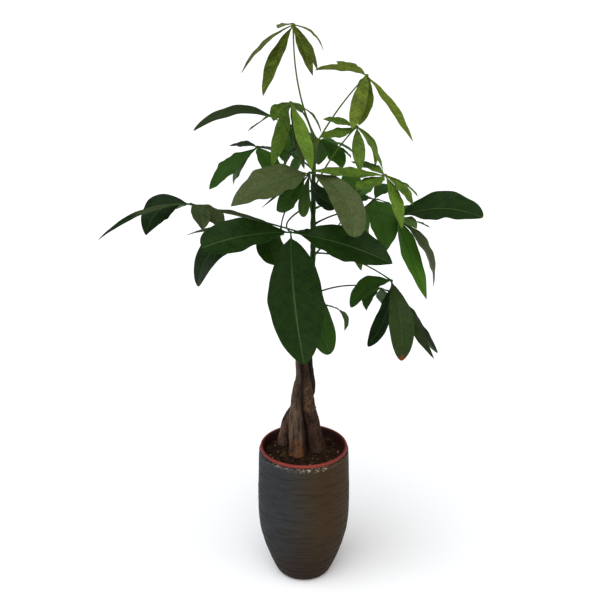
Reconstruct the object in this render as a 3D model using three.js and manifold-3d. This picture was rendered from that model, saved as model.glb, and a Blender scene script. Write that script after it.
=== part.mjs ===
// A potted money tree: three loosely braided trunks with one green stem and its compound leaves,
// in soil in a plastic nursery pot, which hangs by its rim in a ceramic cover pot.
// Millimetres, +Z up. The origin is the centre of the cover pot's base.
import * as THREE from "three";
import { mergeVertices } from "three/addons/utils/BufferGeometryUtils.js";
import Module from "manifold-3d";

const wasm = await Module();
wasm.setup();

const SEAT_GAP = 0.3; // between two parts that touch

// ---- materials, one for each slot of the record ----
const material = (color, roughness) => new THREE.MeshStandardMaterial({ color, roughness });
const MATERIALS = {
  ceramic: () => material(0x3d3a37, 0.5),
  plastic: () => material(0x9a4532, 0.6),
  soil: () => material(0x5b4433, 1),
  bark: () => material(0x7a6858, 0.9),
  green_stem: () => material(0x3c4a2a, 0.6),
  leaf_mature: () => material(0x46642f, 0.5),
  leaf_young: () => material(0x8fa64a, 0.5),
};

const tree = new THREE.Group();
tree.name = "potted_money_tree";

function addNode(name, slot, geometry) {
  const mesh = new THREE.Mesh(geometry, MATERIALS[slot]());
  mesh.name = name;
  tree.add(mesh);
}

// ---- closed solids ----
function solidOf(positions, triangles) {
  const mesh = new wasm.Mesh({
    numProp: 3,
    vertProperties: new Float32Array(positions.flat()),
    triVerts: new Uint32Array(triangles.flat()),
  });
  return new wasm.Manifold(mesh);
}

function solidOfGeometry(geometry) {
  const bare = geometry.clone();
  bare.deleteAttribute("normal");
  bare.deleteAttribute("uv");
  const merged = mergeVertices(bare, 1e-3);
  const mesh = new wasm.Mesh({
    numProp: 3,
    vertProperties: merged.attributes.position.array,
    triVerts: new Uint32Array(merged.index.array),
  });
  return new wasm.Manifold(mesh);
}

function geometryOf(solid) {
  const { vertProperties, triVerts } = solid.getMesh();
  const geometry = new THREE.BufferGeometry();
  geometry.setAttribute("position", new THREE.BufferAttribute(new Float32Array(vertProperties), 3));
  geometry.setIndex(new THREE.BufferAttribute(new Uint32Array(triVerts), 1));
  geometry.computeVertexNormals();
  return geometry;
}

// A solid of revolution about +Z. The profile is a closed run of [radius, height], bottom first.
function turned(profile, sides) {
  const points = profile.map(([radius, height]) => new THREE.Vector2(radius, height));
  return new THREE.LatheGeometry(points, sides).rotateX(Math.PI / 2);
}

// A round bar along a run of points, with a radius at each of them.
function bar(centres, radii, sides) {
  const positions = [];
  const triangles = [];
  const across = new THREE.Vector3(1, 0, 0);
  centres.forEach((centre, i) => {
    const before = centres[Math.max(i - 1, 0)];
    const after = centres[Math.min(i + 1, centres.length - 1)];
    const along = after.clone().sub(before).normalize();
    across.addScaledVector(along, -across.dot(along)).normalize();
    const side = along.clone().cross(across);
    for (let k = 0; k < sides; k++) {
      const turn = (2 * Math.PI * k) / sides;
      const rim = centre.clone().addScaledVector(across, radii[i] * Math.cos(turn));
      positions.push(rim.addScaledVector(side, radii[i] * Math.sin(turn)).toArray());
    }
  });
  for (let i = 0; i + 1 < centres.length; i++) {
    for (let k = 0; k < sides; k++) {
      const a = i * sides + k;
      const b = i * sides + ((k + 1) % sides);
      triangles.push([a, b, b + sides], [a, b + sides, a + sides]);
    }
  }
  const first = positions.push(centres[0].toArray()) - 1;
  const last = positions.push(centres.at(-1).toArray()) - 1;
  const end = (centres.length - 1) * sides;
  for (let k = 0; k < sides; k++) {
    const next = (k + 1) % sides;
    triangles.push([first, next, k], [last, end + k, end + next]);
  }
  return solidOf(positions, triangles);
}

// A bar through stations of [x, y, z, radius], rounded between them.
function barThrough(stations, steps, sides, extra = 0) {
  const curve = new THREE.CatmullRomCurve3(stations.map(([x, y, z]) => new THREE.Vector3(x, y, z)));
  const centres = [];
  const radii = [];
  for (let i = 0; i <= steps; i++) {
    const place = ((stations.length - 1) * i) / steps;
    const from = Math.min(Math.floor(place), stations.length - 2);
    centres.push(curve.getPoint(i / steps));
    radii.push(THREE.MathUtils.lerp(stations[from][3], stations[from + 1][3], place - from) + extra);
  }
  return bar(centres, radii, sides);
}

// ---- the cover pot: dark ceramic, egg-shaped below, with turned grooves ----
const POT_HEIGHT = 298;
const POT_WALL = 6.5;
const POT_FLOOR = 14;
const POT_SIDES = 28;
const POT_OUTLINE = [
  [50, 0],
  [57.5, 6],
  [65, 20],
  [75, 45],
  [85, 75],
  [92.6, 105],
  [96, 130],
  [97.5, 155],
  [97.5, 205],
  [96.5, 235],
  [95.5, 270],
  [94.5, 292],
];
const POT_LIP_RADIUS = 92.5;
const GROOVE_DEPTH = 1.1;
const GROOVE_HALF_WIDTH = 3;
const GROOVE_HEIGHTS = [34, 60, 90, 118, 168, 220, 252];

const radiusAt = (height) => {
  const above = POT_OUTLINE.findIndex(([, z]) => z > height);
  if (above < 0) return POT_OUTLINE.at(-1)[0];
  const [lowRadius, low] = POT_OUTLINE[above - 1];
  const [highRadius, high] = POT_OUTLINE[above];
  return THREE.MathUtils.mapLinear(height, low, high, lowRadius, highRadius);
};

function coverPot() {
  const grooves = GROOVE_HEIGHTS.flatMap((height) => [
    [radiusAt(height - GROOVE_HALF_WIDTH), height - GROOVE_HALF_WIDTH],
    [radiusAt(height) - GROOVE_DEPTH, height],
    [radiusAt(height + GROOVE_HALF_WIDTH), height + GROOVE_HALF_WIDTH],
  ]);
  const clear = ([, z]) => GROOVE_HEIGHTS.every((height) => Math.abs(height - z) > GROOVE_HALF_WIDTH);
  const outside = [...POT_OUTLINE.filter(clear), ...grooves].sort((a, b) => a[1] - b[1]);
  const inside = POT_OUTLINE.filter(([, z]) => z > POT_FLOOR).map(([r, z]) => [r - POT_WALL, z]);
  const floorRadius = radiusAt(POT_FLOOR) - POT_WALL;
  const lip = [
    [POT_LIP_RADIUS, POT_HEIGHT],
    [POT_OUTLINE.at(-1)[0] - POT_WALL, POT_HEIGHT],
  ];
  return [[0, 0], ...outside, ...lip, ...inside.reverse(), [floorRadius, POT_FLOOR], [0, POT_FLOOR]];
}
addNode("cover_pot", "ceramic", turned(coverPot(), POT_SIDES));

// ---- the nursery pot: thin red plastic, its rolled rim on the cover pot's lip ----
const RIM_UNDERSIDE = POT_HEIGHT + SEAT_GAP;
const RIM_TOP = 306;
const RIM_RADIUS = 92;
const NURSERY_WALL = 2;
const NURSERY_TOP_RADIUS = 87;
const NURSERY_BASE_RADIUS = 60;
const NURSERY_BASE = 62;
const NURSERY_SIDES = 32;
const nurseryRadius = (height) =>
  THREE.MathUtils.mapLinear(height, NURSERY_BASE, RIM_UNDERSIDE, NURSERY_BASE_RADIUS, NURSERY_TOP_RADIUS);

const nurseryPot = [
  [0, NURSERY_BASE],
  [NURSERY_BASE_RADIUS, NURSERY_BASE],
  [NURSERY_TOP_RADIUS, RIM_UNDERSIDE],
  [RIM_RADIUS - 1, RIM_UNDERSIDE],
  [RIM_RADIUS, RIM_UNDERSIDE + 1.5],
  [RIM_RADIUS, RIM_TOP - 2],
  [RIM_RADIUS - 1.5, RIM_TOP - 0.3],
  [RIM_RADIUS - 3.5, RIM_TOP],
  [RIM_RADIUS - 5.5, RIM_TOP - 0.8],
  [NURSERY_TOP_RADIUS - NURSERY_WALL, RIM_TOP - 4],
  [NURSERY_BASE_RADIUS - NURSERY_WALL, NURSERY_BASE + NURSERY_WALL],
  [0, NURSERY_BASE + NURSERY_WALL],
];
addNode("nursery_pot", "plastic", turned(nurseryPot, NURSERY_SIDES));

// ---- the trunks: stations of [x, y, z, radius] from the root's end to the cut top ----
const SOIL_LEVEL = 286;
const ROOT_DEPTH = 60;
const TRUNK_SIDES = 10;
const TRUNK_STEPS = 20;
const TRUNKS = {
  trunk_front: [
    [-12, -4, SOIL_LEVEL - ROOT_DEPTH, 18],
    [-12, -4, SOIL_LEVEL - 20, 18],
    [-12, -4, SOIL_LEVEL + 8, 18],
    [-13.8, -6, 325, 17.3],
    [-15.8, -5, 360, 15.4],
    [-15.8, -1, 395, 12.5],
    [-12.5, 6, 430, 10.2],
    [-7.2, 8.5, 465, 8.6],
    [-8.5, 6, 498, 8],
    [-8.5, 6, 512, 8],
  ],
  trunk_right: [
    [26.4, 14, SOIL_LEVEL - ROOT_DEPTH, 17.6],
    [26.4, 14, SOIL_LEVEL - 20, 17.6],
    [26.4, 14, SOIL_LEVEL + 8, 17.6],
    [20.6, 12, 325, 17],
    [14.4, 9, 360, 16.4],
    [11, -5, 395, 13.4],
    [7.5, -12, 430, 11.2],
    [3.5, -11.5, 465, 9],
    [-0.5, -10.5, 498, 8],
    [-0.5, -10.5, 508, 8],
  ],
  trunk_back: [
    [-44.5, 38, SOIL_LEVEL - ROOT_DEPTH, 10],
    [-44.5, 38, SOIL_LEVEL - 20, 10],
    [-44.5, 38, SOIL_LEVEL + 8, 10],
    [-40.5, 37, 322, 9.6],
    [-31.5, 35, 352, 9.6],
    [-19, 33, 374, 9.6],
    [-2, 29, 394, 9.6],
    [11, 22, 414, 9.6],
    [14.5, 14, 436, 9.4],
    [12.5, 8, 462, 8.8],
    [9, 5, 490, 8],
    [8.5, 4.5, 508, 8],
    [8.5, 4.5, 520, 8],
  ],
};
for (const [name, stations] of Object.entries(TRUNKS)) {
  addNode(name, "bark", geometryOf(barThrough(stations, TRUNK_STEPS, TRUNK_SIDES)));
}

// ---- the soil, with a plain hole for each root ----
const SOIL_BASE = NURSERY_BASE + NURSERY_WALL + SEAT_GAP;
const SOIL_SIDES = 24;
const SOIL_RINGS = [0.93, 0.72, 0.5, 0.25];
const SOIL_BUMP = 2;
const SOIL_CROWN = 2; // how far the soil's middle stands above its edge
const HOLE_CLEARANCE = 1; // round a root, where the hole and the root are both many-sided
const soilRadius = (height) => nurseryRadius(height) - NURSERY_WALL - 4 * SEAT_GAP;
const soilBump = (x, y) => SOIL_BUMP * Math.sin(x / 9 + 1) * Math.cos(y / 11 + x / 25);

function soilBlock() {
  const rim = soilRadius(SOIL_LEVEL);
  const top = SOIL_RINGS.map((share) => [share * rim, SOIL_LEVEL + SOIL_CROWN]);
  const profile = [[0, SOIL_BASE], [soilRadius(SOIL_BASE), SOIL_BASE], [rim, SOIL_LEVEL], ...top];
  const block = turned([...profile, [0, SOIL_LEVEL + SOIL_CROWN]], SOIL_SIDES);
  const points = block.attributes.position;
  for (let i = 0; i < points.count; i++) {
    if (points.getZ(i) > SOIL_LEVEL) {
      points.setZ(i, points.getZ(i) + soilBump(points.getX(i), points.getY(i)));
    }
  }
  let solid = solidOfGeometry(block);
  for (const stations of Object.values(TRUNKS)) {
    const [x, y, bottom, radius] = stations[0];
    const foot = new THREE.Vector3(x, y, bottom - SEAT_GAP);
    const mouth = new THREE.Vector3(x, y, SOIL_LEVEL + SOIL_CROWN + 2 * SOIL_BUMP);
    const holeRadius = radius + HOLE_CLEARANCE;
    solid = solid.subtract(bar([foot, mouth], [holeRadius, holeRadius], 2 * TRUNK_SIDES));
  }
  return geometryOf(solid);
}
addNode("soil", "soil", soilBlock());

// ---- the green stem, from the back trunk's top to the growing tip ----
const STEM_STATIONS = [
  [8.5, 4.5, 520 + SEAT_GAP, 6],
  [8.5, 4.5, 536, 5.8],
  [13, 1, 600, 5.3],
  [16, 0, 660, 4.9],
  [17.5, 0, 745, 4.9],
  [17.5, 0, 830, 4.6],
  [18.5, 1, 900, 3.8],
  [21, 1, 940, 3.3],
  [23, 0, 964, 2.6],
];
const STEM_STEPS = 18;
const STEM_SIDES = 8;
addNode("stem", "green_stem", geometryOf(barThrough(STEM_STATIONS, STEM_STEPS, STEM_SIDES)));
const stemTop = STEM_STATIONS.at(-1);
const raisedTop = [stemTop[0], stemTop[1], stemTop[2] + SEAT_GAP, stemTop[3]];
const socketStations = [...STEM_STATIONS.slice(0, -1), raisedTop];
const stemSocket = barThrough(socketStations, STEM_STEPS, STEM_SIDES, SEAT_GAP);

// ---- the compound leaves ----
// Each leaf has the point in the stem where its petiole starts, the hub where its leaflets meet,
// and the petiole's own rise and sway. A leaflet is
// [reach x, reach y, reach z, width, rise, sway, roll, outline], with the reach from hub to tip,
// the rise of its arc above the straight line, the arc's sway to the left, the roll in degrees
// that lifts its back edge, and the name of its outline.
const LEAVES = {
  leaf_01: {
    slot: "leaf_young", node: [23, 0, 960], hub: [-20, -10, 1175], rise: -18, sway: 24,
    leaflets: [
      [-95, -15, -85, 22, 12, 6, 8, "lance"],
      [-30, 95, -20, 26, 4, 0, 0, "lance"],
      [-55, -50, -120, 36, 0, -7, 0, "lance"],
      [35, -40, -85, 26, 10, -7, 0, "lance"],
      [45, 40, -90, 22, 8, 4, 0, "lance"],
      [55, 5, -48, 16, 11, -2, 10, "lance"],
    ],
  },
  leaf_02: {
    slot: "leaf_young", node: [22.5, 0, 950], hub: [117, 20, 1078], rise: 6, sway: 0,
    leaflets: [
      [-97, -25, 14, 28, 8, -4, 15, "lance"],
      [-55, 60, 16, 28, 2, 2, 10, "lance"],
      [-29, -75, -85, 30, 2, 0, 0, "full"],
      [-14, -20, -90, 38, -10, 0, 0, "full"],
      [88, -25, -120, 32, 2, 6, 12, "lance"],
      [-5, 60, -55, 26, 4, 0, 0, "lance"],
    ],
  },
  leaf_03: {
    slot: "leaf_young", node: [21.3, 1, 943], hub: [-25, -60, 1043], rise: 22, sway: -8,
    leaflets: [
      [-35, -5, -120, 32, -6, -32, 50, "lance"],
      [-30, -55, -22, 36, 7, 0, 0, "oval"],
      [-80, 30, -60, 24, 1, 20, 0, "lance"],
      [39, -65, -108, 30, 14, -6, 0, "oval"],
      [56, 18, -60, 22, 12, 0, 0, "lance"],
      [25, -15, -120, 30, 12, -20, 0, "lance"],
      [20, 100, -40, 26, 4, 0, 0, "lance"],
    ],
  },
  leaf_04: {
    slot: "leaf_young", node: [18, 0.5, 862], hub: [98, -20, 990], rise: 6, sway: 6,
    leaflets: [
      [-63, -12, 16, 30, 2, -2, 15, "lance"],
      [-69, -55, -8, 36, -5, -2, 10, "lance"],
      [5, -50, -75, 25, 2, 0, 0, "lance"],
      [50, -15, -80, 26, 4, 4, 0, "lance"],
      [40, 60, -95, 15, 13, -8, 0, "lance"],
    ],
  },
  leaf_05: {
    slot: "leaf_mature", node: [19.5, 1, 922], hub: [-45, 45, 985], rise: 6, sway: 4,
    leaflets: [
      [-165, -35, -10, 36, 31, 12, 16, "full"],
      [35, 85, -105, 46, 8, 0, 0, "oval"],
      [5, -50, -65, 34, 6, 0, 0, "oval"],
      [10, 105, -75, 34, 2, 0, 0, "oval"],
      [65, 115, -70, 40, 4, 0, 0, "oval"],
    ],
  },
  leaf_06: {
    slot: "leaf_mature", node: [20, 1, 930], hub: [27, 25, 954], rise: 0, sway: 2,
    leaflets: [
      [45, -5, -55, 62, 0, 18, 20, "oval"],
      [95, 15, -60, 30, 14, 6, 0, "lance"],
      [65, 35, -45, 24, 6, -10, 0, "lance"],
      [-72, 10, -75, 56, 16, -10, 0, "oval"],
      [-50, 40, -85, 46, 6, 0, 0, "oval"],
      [2, 60, -65, 44, 8, 0, 0, "oval"],
    ],
  },
  leaf_07: {
    slot: "leaf_mature", node: [18.5, 1, 900], hub: [-90, 25, 940], rise: 22, sway: 28,
    leaflets: [
      [-55, 20, -3, 28, 4, -2, 8, "lance"],
      [-92, -35, -74, 52, 11, 14, 12, "oval"],
      [-50, 35, -85, 40, 2, 14, 50, "lance"],
      [40, -45, -58, 46, 18, -12, 0, "oval"],
      [55, 95, -45, 44, 4, 0, 0, "oval"],
    ],
  },
  leaf_08: {
    slot: "leaf_mature", node: [17.5, 0, 798], hub: [10, -90, 920], rise: 14, sway: -6,
    leaflets: [
      [-142, -60, -46, 86, 9, 0, 20, "broad"],
      [79, -110, -88, 54, 20, 14, 20, "spoon"],
      [-62, 30, -81, 46, -4, 10, 65, "oval"],
      [52, 45, -75, 40, -12, 9, 70, "paddle"],
      [-11, -35, -74, 22, -12, -7, 0, "paddle"],
      [-90, 30, -76, 12, 2, 3, 20, "lance"],
    ],
  },
  leaf_09: {
    slot: "leaf_young", node: [17.5, 0, 823], hub: [150, -70, 910], rise: -2, sway: 12,
    leaflets: [
      [-135, -45, 20, 36, 0, 4, 15, "lance"],
      [-60, 80, 5, 32, 2, -2, 0, "lance"],
      [-55, -80, -5, 44, -2, 0, 0, "oval"],
      [30, -45, -90, 28, 8, 0, 0, "lance"],
      [50, -25, -50, 36, 4, 2, 0, "oval"],
      [65, 30, -50, 24, 6, -2, 0, "lance"],
    ],
  },
  leaf_10: {
    slot: "leaf_mature", node: [17.5, 0, 768], hub: [-215, -40, 845], rise: -4, sway: -26,
    leaflets: [
      [-168, -68, -49, 20, 21, 4, 8, "lance"],
      [-86, -18, -56, 58, 23, -10, 42, "oval"],
      [26, -65, -30, 36, 8, 6, 0, "oval"],
      [60, -50, -35, 44, 6, 8, 0, "oval"],
      [-40, 100, -40, 30, 4, 0, 0, "oval"],
    ],
  },
  leaf_11: {
    slot: "leaf_mature", node: [17.5, 0, 725], hub: [140, 60, 825], rise: -10, sway: 24,
    leaflets: [
      [20, -55, -92, 63, 22, 0, 0, "broad"],
      [40, 30, -30, 22, 6, 0, 0, "lance"],
      [-34, -5, -12, 36, 8, 0, 0, "oval"],
      [-25, -30, -140, 46, -14, -28, 0, "lance"],
      [30, 100, -80, 44, 4, 0, 0, "oval"],
      [40, 50, 15, 40, 6, 0, 0, "oval"],
    ],
  },
  leaf_12: {
    slot: "leaf_mature", node: [17.5, 0, 835], hub: [-25, -120, 815], rise: -8, sway: -27,
    leaflets: [
      [-160, -45, -15, 80, 7, -6, 28, "spoon"],
      [25, -65, -237, 110, -18, 0, 0, "full"],
      [185, -45, -45, 84, 6, 6, 30, "oval"],
      [77, 20, -254, 68, -8, 10, 60, "paddle"],
      [90, 90, -45, 44, 4, 0, 0, "oval"],
    ],
  },
  leaf_13: {
    slot: "leaf_mature", node: [17.5, 0, 791], hub: [180, 0, 805], rise: 22, sway: -2,
    leaflets: [
      [160, -45, 15, 86, 15, 14, 22, "full"],
      [80, 20, -150, 38, 20, -12, 35, "lance"],
      [59, -50, -150, 46, -22, 27, 10, "broad"],
      [75, 80, -45, 26, 4, 0, 0, "lance"],
      [34, -50, -6, 32, 6, 0, 0, "lance"],
      [50, 110, -10, 40, 4, 0, 0, "oval"],
    ],
  },
  leaf_14: {
    slot: "leaf_mature", node: [17.5, 0, 749], hub: [100, 110, 800], rise: -22, sway: 8,
    leaflets: [
      [75, 70, -100, 48, 8, 0, 0, "oval"],
      [-10, 40, 60, 44, 10, 0, 0, "oval"],
      [40, 110, 10, 46, 8, 0, 0, "oval"],
      [-20, 120, -35, 44, 8, 0, 0, "oval"],
      [0, 90, -85, 50, 8, 0, 0, "oval"],
      [-18, -66, -95, 30, 10, 0, 0, "oval"],
    ],
  },
  leaf_15: {
    slot: "leaf_mature", node: [18, 0, 861], hub: [-45, -30, 790], rise: 26, sway: 8,
    leaflets: [
      [-135, -10, 45, 30, 4, -6, 0, "lance"],
      [-163, -5, -114, 50, 57, 50, 55, "full"],
      [-188, 50, -27, 26, 20, 32, 0, "lance"],
      [-3, -45, -55, 62, 7, -16, 20, "oval"],
      [-35, 125, -75, 50, 4, 0, 0, "oval"],
    ],
  },
  leaf_16: {
    slot: "leaf_mature", node: [17.5, 0, 733], hub: [170, -40, 690], rise: 30, sway: -38,
    leaflets: [
      [-80, -35, -42, 44, 24, 9, 15, "full"],
      [18, -80, -135, 50, 34, -2, 0, "blunt"],
      [88, -20, -158, 30, -8, 12, 30, "lance"],
      [103, 40, -172, 38, -6, -4, 35, "blunt"],
      [50, 30, -140, 36, -4, 0, 30, "oval"],
      [-42, 10, -145, 38, -12, -6, 55, "blunt"],
    ],
  },
  leaf_17: {
    slot: "leaf_mature", node: [15, 0, 644], hub: [155, 20, 650], rise: 8, sway: 14,
    leaflets: [
      [-30, -30, -35, 32, 18, -2, 0, "lance"],
      [45, 100, -115, 40, 4, 0, 0, "oval"],
      [22, 110, -85, 34, 2, 0, 0, "oval"],
      [50, 70, -55, 34, 4, 0, 0, "oval"],
    ],
  },
  leaf_18: {
    slot: "leaf_mature", node: [11, 2, 569], hub: [25, -40, 640], rise: -2, sway: 0,
    leaflets: [
      [57, 40, -73, 24, 21, -15, 0, "lance"],
      [0, -20, -80, 44, 16, 0, 0, "oval"],
      [-65, -10, -70, 44, 14, 0, 0, "oval"],
      [-50, 10, -35, 36, 6, 0, 0, "oval"],
    ],
  },
};

// An outline's half width is half the width times sin(pi * share ^ lean) ^ fullness.
const OUTLINES = {
  lance: { lean: 1, fullness: 0.85 },
  oval: { lean: 1.12, fullness: 0.8 },
  blunt: { lean: 1.3, fullness: 0.62 },
  broad: { lean: 0.78, fullness: 0.85 },
  full: { lean: 1, fullness: 0.6 },
  paddle: { lean: 2, fullness: 0.5 },
  spoon: { lean: 1.6, fullness: 0.4 },
};
const BLADE_THICKNESS = 1.1;
const BLADE_START = 0.05; // the share of a leaflet that is its own short stalk
const STALK_HALF_WIDTH = 1.3;
const TIP_HALF_WIDTH = 0.5;
const FOLD = 0.18; // how far the halves of a blade fold up, as a share of the half width
const FOLDED_WIDTH = 32; // a narrower blade is flat across
const ROLL_SHARE = 0.3; // the roll comes in over this share of the leaflet
const HUB_RADIUS = 4;
const PETIOLE_RADIUS = { base: 2.2, hub: 1.6 };
const PETIOLE_STEPS = 6;
const PETIOLE_SIDES = 5;

// The arc from one point to another that rises above the straight line and sways to its left.
function arc(start, reach, rise, sway) {
  const level = Math.hypot(reach.x, reach.y);
  const left = new THREE.Vector3(-reach.y / level, reach.x / level, 0);
  const above = reach.clone().cross(left).normalize();
  const middle = start.clone().addScaledVector(reach, 0.5);
  middle.addScaledVector(above, 2 * rise).addScaledVector(left, 2 * sway);
  const curve = new THREE.QuadraticBezierCurve3(start, middle, start.clone().add(reach));
  return { curve, left, above };
}

function halfWidth(share, width, outline) {
  if (share <= BLADE_START) return STALK_HALF_WIDTH;
  const along = (share - BLADE_START) / (1 - BLADE_START);
  const { lean, fullness } = OUTLINES[outline];
  const swell = Math.max(Math.sin(Math.PI * along ** lean), 0) ** fullness;
  return Math.max((width / 2) * swell, along < 0.5 ? STALK_HALF_WIDTH : TIP_HALF_WIDTH);
}

// The points across a blade and its upward direction at one share of its length.
function bladeRow(share, leaflet, { curve, left, above }) {
  const [reachX, , , width, , , roll, outline] = leaflet;
  const spine = curve.getPoint(share);
  const along = curve.getTangent(share);
  const level = left.clone().addScaledVector(along, -left.dot(along)).normalize();
  let face = along.clone().cross(level);
  if (face.dot(above) < 0) face.negate();
  const ease = THREE.MathUtils.smoothstep(share, 0, ROLL_SHARE);
  const turn = THREE.MathUtils.degToRad(roll) * ease * (reachX > 0 ? 1 : -1);
  const side = level.clone().multiplyScalar(Math.cos(turn)).addScaledVector(face, Math.sin(turn));
  face = face.multiplyScalar(Math.cos(turn)).addScaledVector(level, -Math.sin(turn));
  const half = halfWidth(share, width, outline);
  const fold = width < FOLDED_WIDTH ? 0 : FOLD * half;
  const edge = (sign) => spine.clone().addScaledVector(side, sign * half).addScaledVector(face, fold);
  return { points: width < FOLDED_WIDTH ? [edge(1), edge(-1)] : [edge(1), spine, edge(-1)], face };
}

// A longer leaflet is split into more steps.
const FEWEST_STEPS = 3;
const MOST_STEPS = 8;
const STEP_LENGTH = 50;
const bladeSteps = (length) => Math.min(FEWEST_STEPS + Math.floor(length / STEP_LENGTH), MOST_STEPS);

// A leaflet's blade as one closed body, with its faces split alike above and below.
function blade(hub, leaflet) {
  const reach = new THREE.Vector3(...leaflet.slice(0, 3));
  const frame = arc(hub, reach, leaflet[4], leaflet[5]);
  const length = reach.length();
  const steps = bladeSteps(length);
  const shares = [0];
  for (let i = 0; i <= steps; i++) shares.push(BLADE_START + ((1 - BLADE_START) * i) / steps);
  const rows = shares.map((share) => bladeRow(share, leaflet, frame));
  const layer = (sign) =>
    rows.flatMap(({ points, face }) =>
      points.map((point) => point.clone().addScaledVector(face, (sign * BLADE_THICKNESS) / 2).toArray()),
    );
  const wide = rows[0].points.length;
  const under = wide * rows.length;
  const triangles = [];
  const quad = (a, b, c, d) => triangles.push([a, b, c], [a, c, d]);
  for (let row = 0; row + wide < under; row += wide) {
    const next = row + wide;
    for (let k = 0; k + 1 < wide; k++) {
      quad(row + k, row + k + 1, next + k + 1, next + k);
      triangles.push([under + row + k, under + next + k + 1, under + row + k + 1]);
      triangles.push([under + row + k, under + next + k, under + next + k + 1]);
    }
    quad(row, next, under + next, under + row);
    quad(next - 1, under + next - 1, under + next + wide - 1, next + wide - 1);
  }
  const last = under - wide;
  for (let k = 0; k + 1 < wide; k++) {
    quad(k, under + k, under + k + 1, k + 1);
    quad(last + k, last + k + 1, under + last + k + 1, under + last + k);
  }
  const positions = [...layer(1), ...layer(-1)];
  const solid = solidOf(positions, triangles);
  if (solid.volume() > 0) return solid;
  return solidOf(positions, triangles.map(([a, b, c]) => [a, c, b]));
}

function petiole(node, hub, rise, sway) {
  const { curve } = arc(node, hub.clone().sub(node), rise, sway);
  const centres = curve.getPoints(PETIOLE_STEPS);
  const radii = centres.map((_, i) =>
    THREE.MathUtils.lerp(PETIOLE_RADIUS.base, PETIOLE_RADIUS.hub, i / PETIOLE_STEPS),
  );
  return bar(centres, radii, PETIOLE_SIDES);
}

function compoundLeaf({ node, hub, rise, sway, leaflets }) {
  const centre = new THREE.Vector3(...hub);
  const knob = solidOfGeometry(new THREE.IcosahedronGeometry(HUB_RADIUS, 0)).translate(hub);
  let solid = petiole(new THREE.Vector3(...node), centre, rise, sway).add(knob);
  for (const leaflet of leaflets) solid = solid.add(blade(centre, leaflet));
  return solid.subtract(stemSocket);
}

for (const [name, leaf] of Object.entries(LEAVES)) {
  addNode(name, leaf.slot, geometryOf(compoundLeaf(leaf)));
}

export default tree;
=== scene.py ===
# %% [markdown]
# # A potted money tree
#
# The plant has three loosely braided trunks, one green stem that grows from the back one, and
# eighteen compound leaves. It stands in soil in a thin plastic nursery pot, whose rolled rim
# hangs on the lip of a heavier ceramic cover pot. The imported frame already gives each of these
# pieces its true place and size, in plain facets. This lesson makes a finer piece for each one,
# in the same place, and gives it a surface.

# %% Load the frame
import math
import random

import bpy
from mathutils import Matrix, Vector, noise


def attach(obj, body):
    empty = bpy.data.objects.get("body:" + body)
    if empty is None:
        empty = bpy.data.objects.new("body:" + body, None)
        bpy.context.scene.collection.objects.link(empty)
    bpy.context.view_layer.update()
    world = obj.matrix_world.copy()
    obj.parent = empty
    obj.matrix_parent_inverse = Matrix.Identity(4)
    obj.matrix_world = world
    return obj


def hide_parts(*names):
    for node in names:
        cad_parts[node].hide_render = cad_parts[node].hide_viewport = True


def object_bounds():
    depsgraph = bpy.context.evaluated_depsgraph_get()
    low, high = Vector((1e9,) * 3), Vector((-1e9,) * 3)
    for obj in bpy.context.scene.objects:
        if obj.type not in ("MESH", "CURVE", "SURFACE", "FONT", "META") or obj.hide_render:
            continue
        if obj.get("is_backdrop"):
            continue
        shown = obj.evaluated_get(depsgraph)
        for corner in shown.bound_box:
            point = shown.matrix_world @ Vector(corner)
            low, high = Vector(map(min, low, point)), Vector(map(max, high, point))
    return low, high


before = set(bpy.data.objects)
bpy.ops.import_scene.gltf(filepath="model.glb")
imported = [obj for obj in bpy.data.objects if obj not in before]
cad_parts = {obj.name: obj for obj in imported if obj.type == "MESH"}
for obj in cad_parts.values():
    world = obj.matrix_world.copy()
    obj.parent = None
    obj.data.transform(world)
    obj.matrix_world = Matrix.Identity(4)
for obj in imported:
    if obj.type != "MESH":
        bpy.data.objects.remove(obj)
cad_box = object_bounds()
MM = 0.001
print("frame nodes:", len(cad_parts), "and box:", [round(v, 3) for v in cad_box[1] - cad_box[0]])

# %% [markdown]
# ## Camera
#
# The plant is seen from a little above its top leaves, with the lens pointing down at the middle
# of it. A long lens from two metres away keeps the upright lines of pot and stem nearly parallel.
# The camera comes first, so that every later step can be looked at as it is made.

# %% Camera
CAMERA_PLACE = (-8, -2050, 1446)  # millimetres
CAMERA_DOWN = 21.62  # degrees below the horizon
FRAME_PIXELS = 600
FOCAL_PIXELS = 1101
SENSOR_WIDTH = 36

bpy.ops.object.camera_add(location=[MM * v for v in CAMERA_PLACE])
camera = bpy.context.object
camera.name = "camera"
camera.rotation_euler = (math.radians(90 - CAMERA_DOWN), 0, 0)
camera.data.sensor_width = SENSOR_WIDTH
camera.data.lens = SENSOR_WIDTH * FOCAL_PIXELS / FRAME_PIXELS
bpy.context.scene.camera = camera
print("camera lens:", round(camera.data.lens, 1), "mm")

# %% [markdown]
# ## Floor and light
#
# A plain white floor runs far past the view, so that it is also the backdrop. The light is that
# of a pale studio: a white sky for the shadows, a broad cool key from the upper left, and a weak
# warm fill from the right. Suns with a wide disc keep the floor evenly lit right to its edge.

# %% Floor
FLOOR_RADIUS = 40  # metres

bpy.ops.mesh.primitive_circle_add(vertices=64, radius=FLOOR_RADIUS, fill_type="NGON")
floor = bpy.context.object
floor.name = "studio_floor"
floor_paint = bpy.data.materials.new("studio_white")
floor_paint.use_nodes = True
floor_shader = floor_paint.node_tree.nodes["Principled BSDF"]
floor_shader.inputs["Base Color"].default_value = (0.93, 0.93, 0.93, 1)
floor_shader.inputs["Roughness"].default_value = 1
floor_shader.inputs["Specular IOR Level"].default_value = 0
floor.data.materials.append(floor_paint)
floor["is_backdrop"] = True
print("floor radius:", FLOOR_RADIUS, "m")

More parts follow.
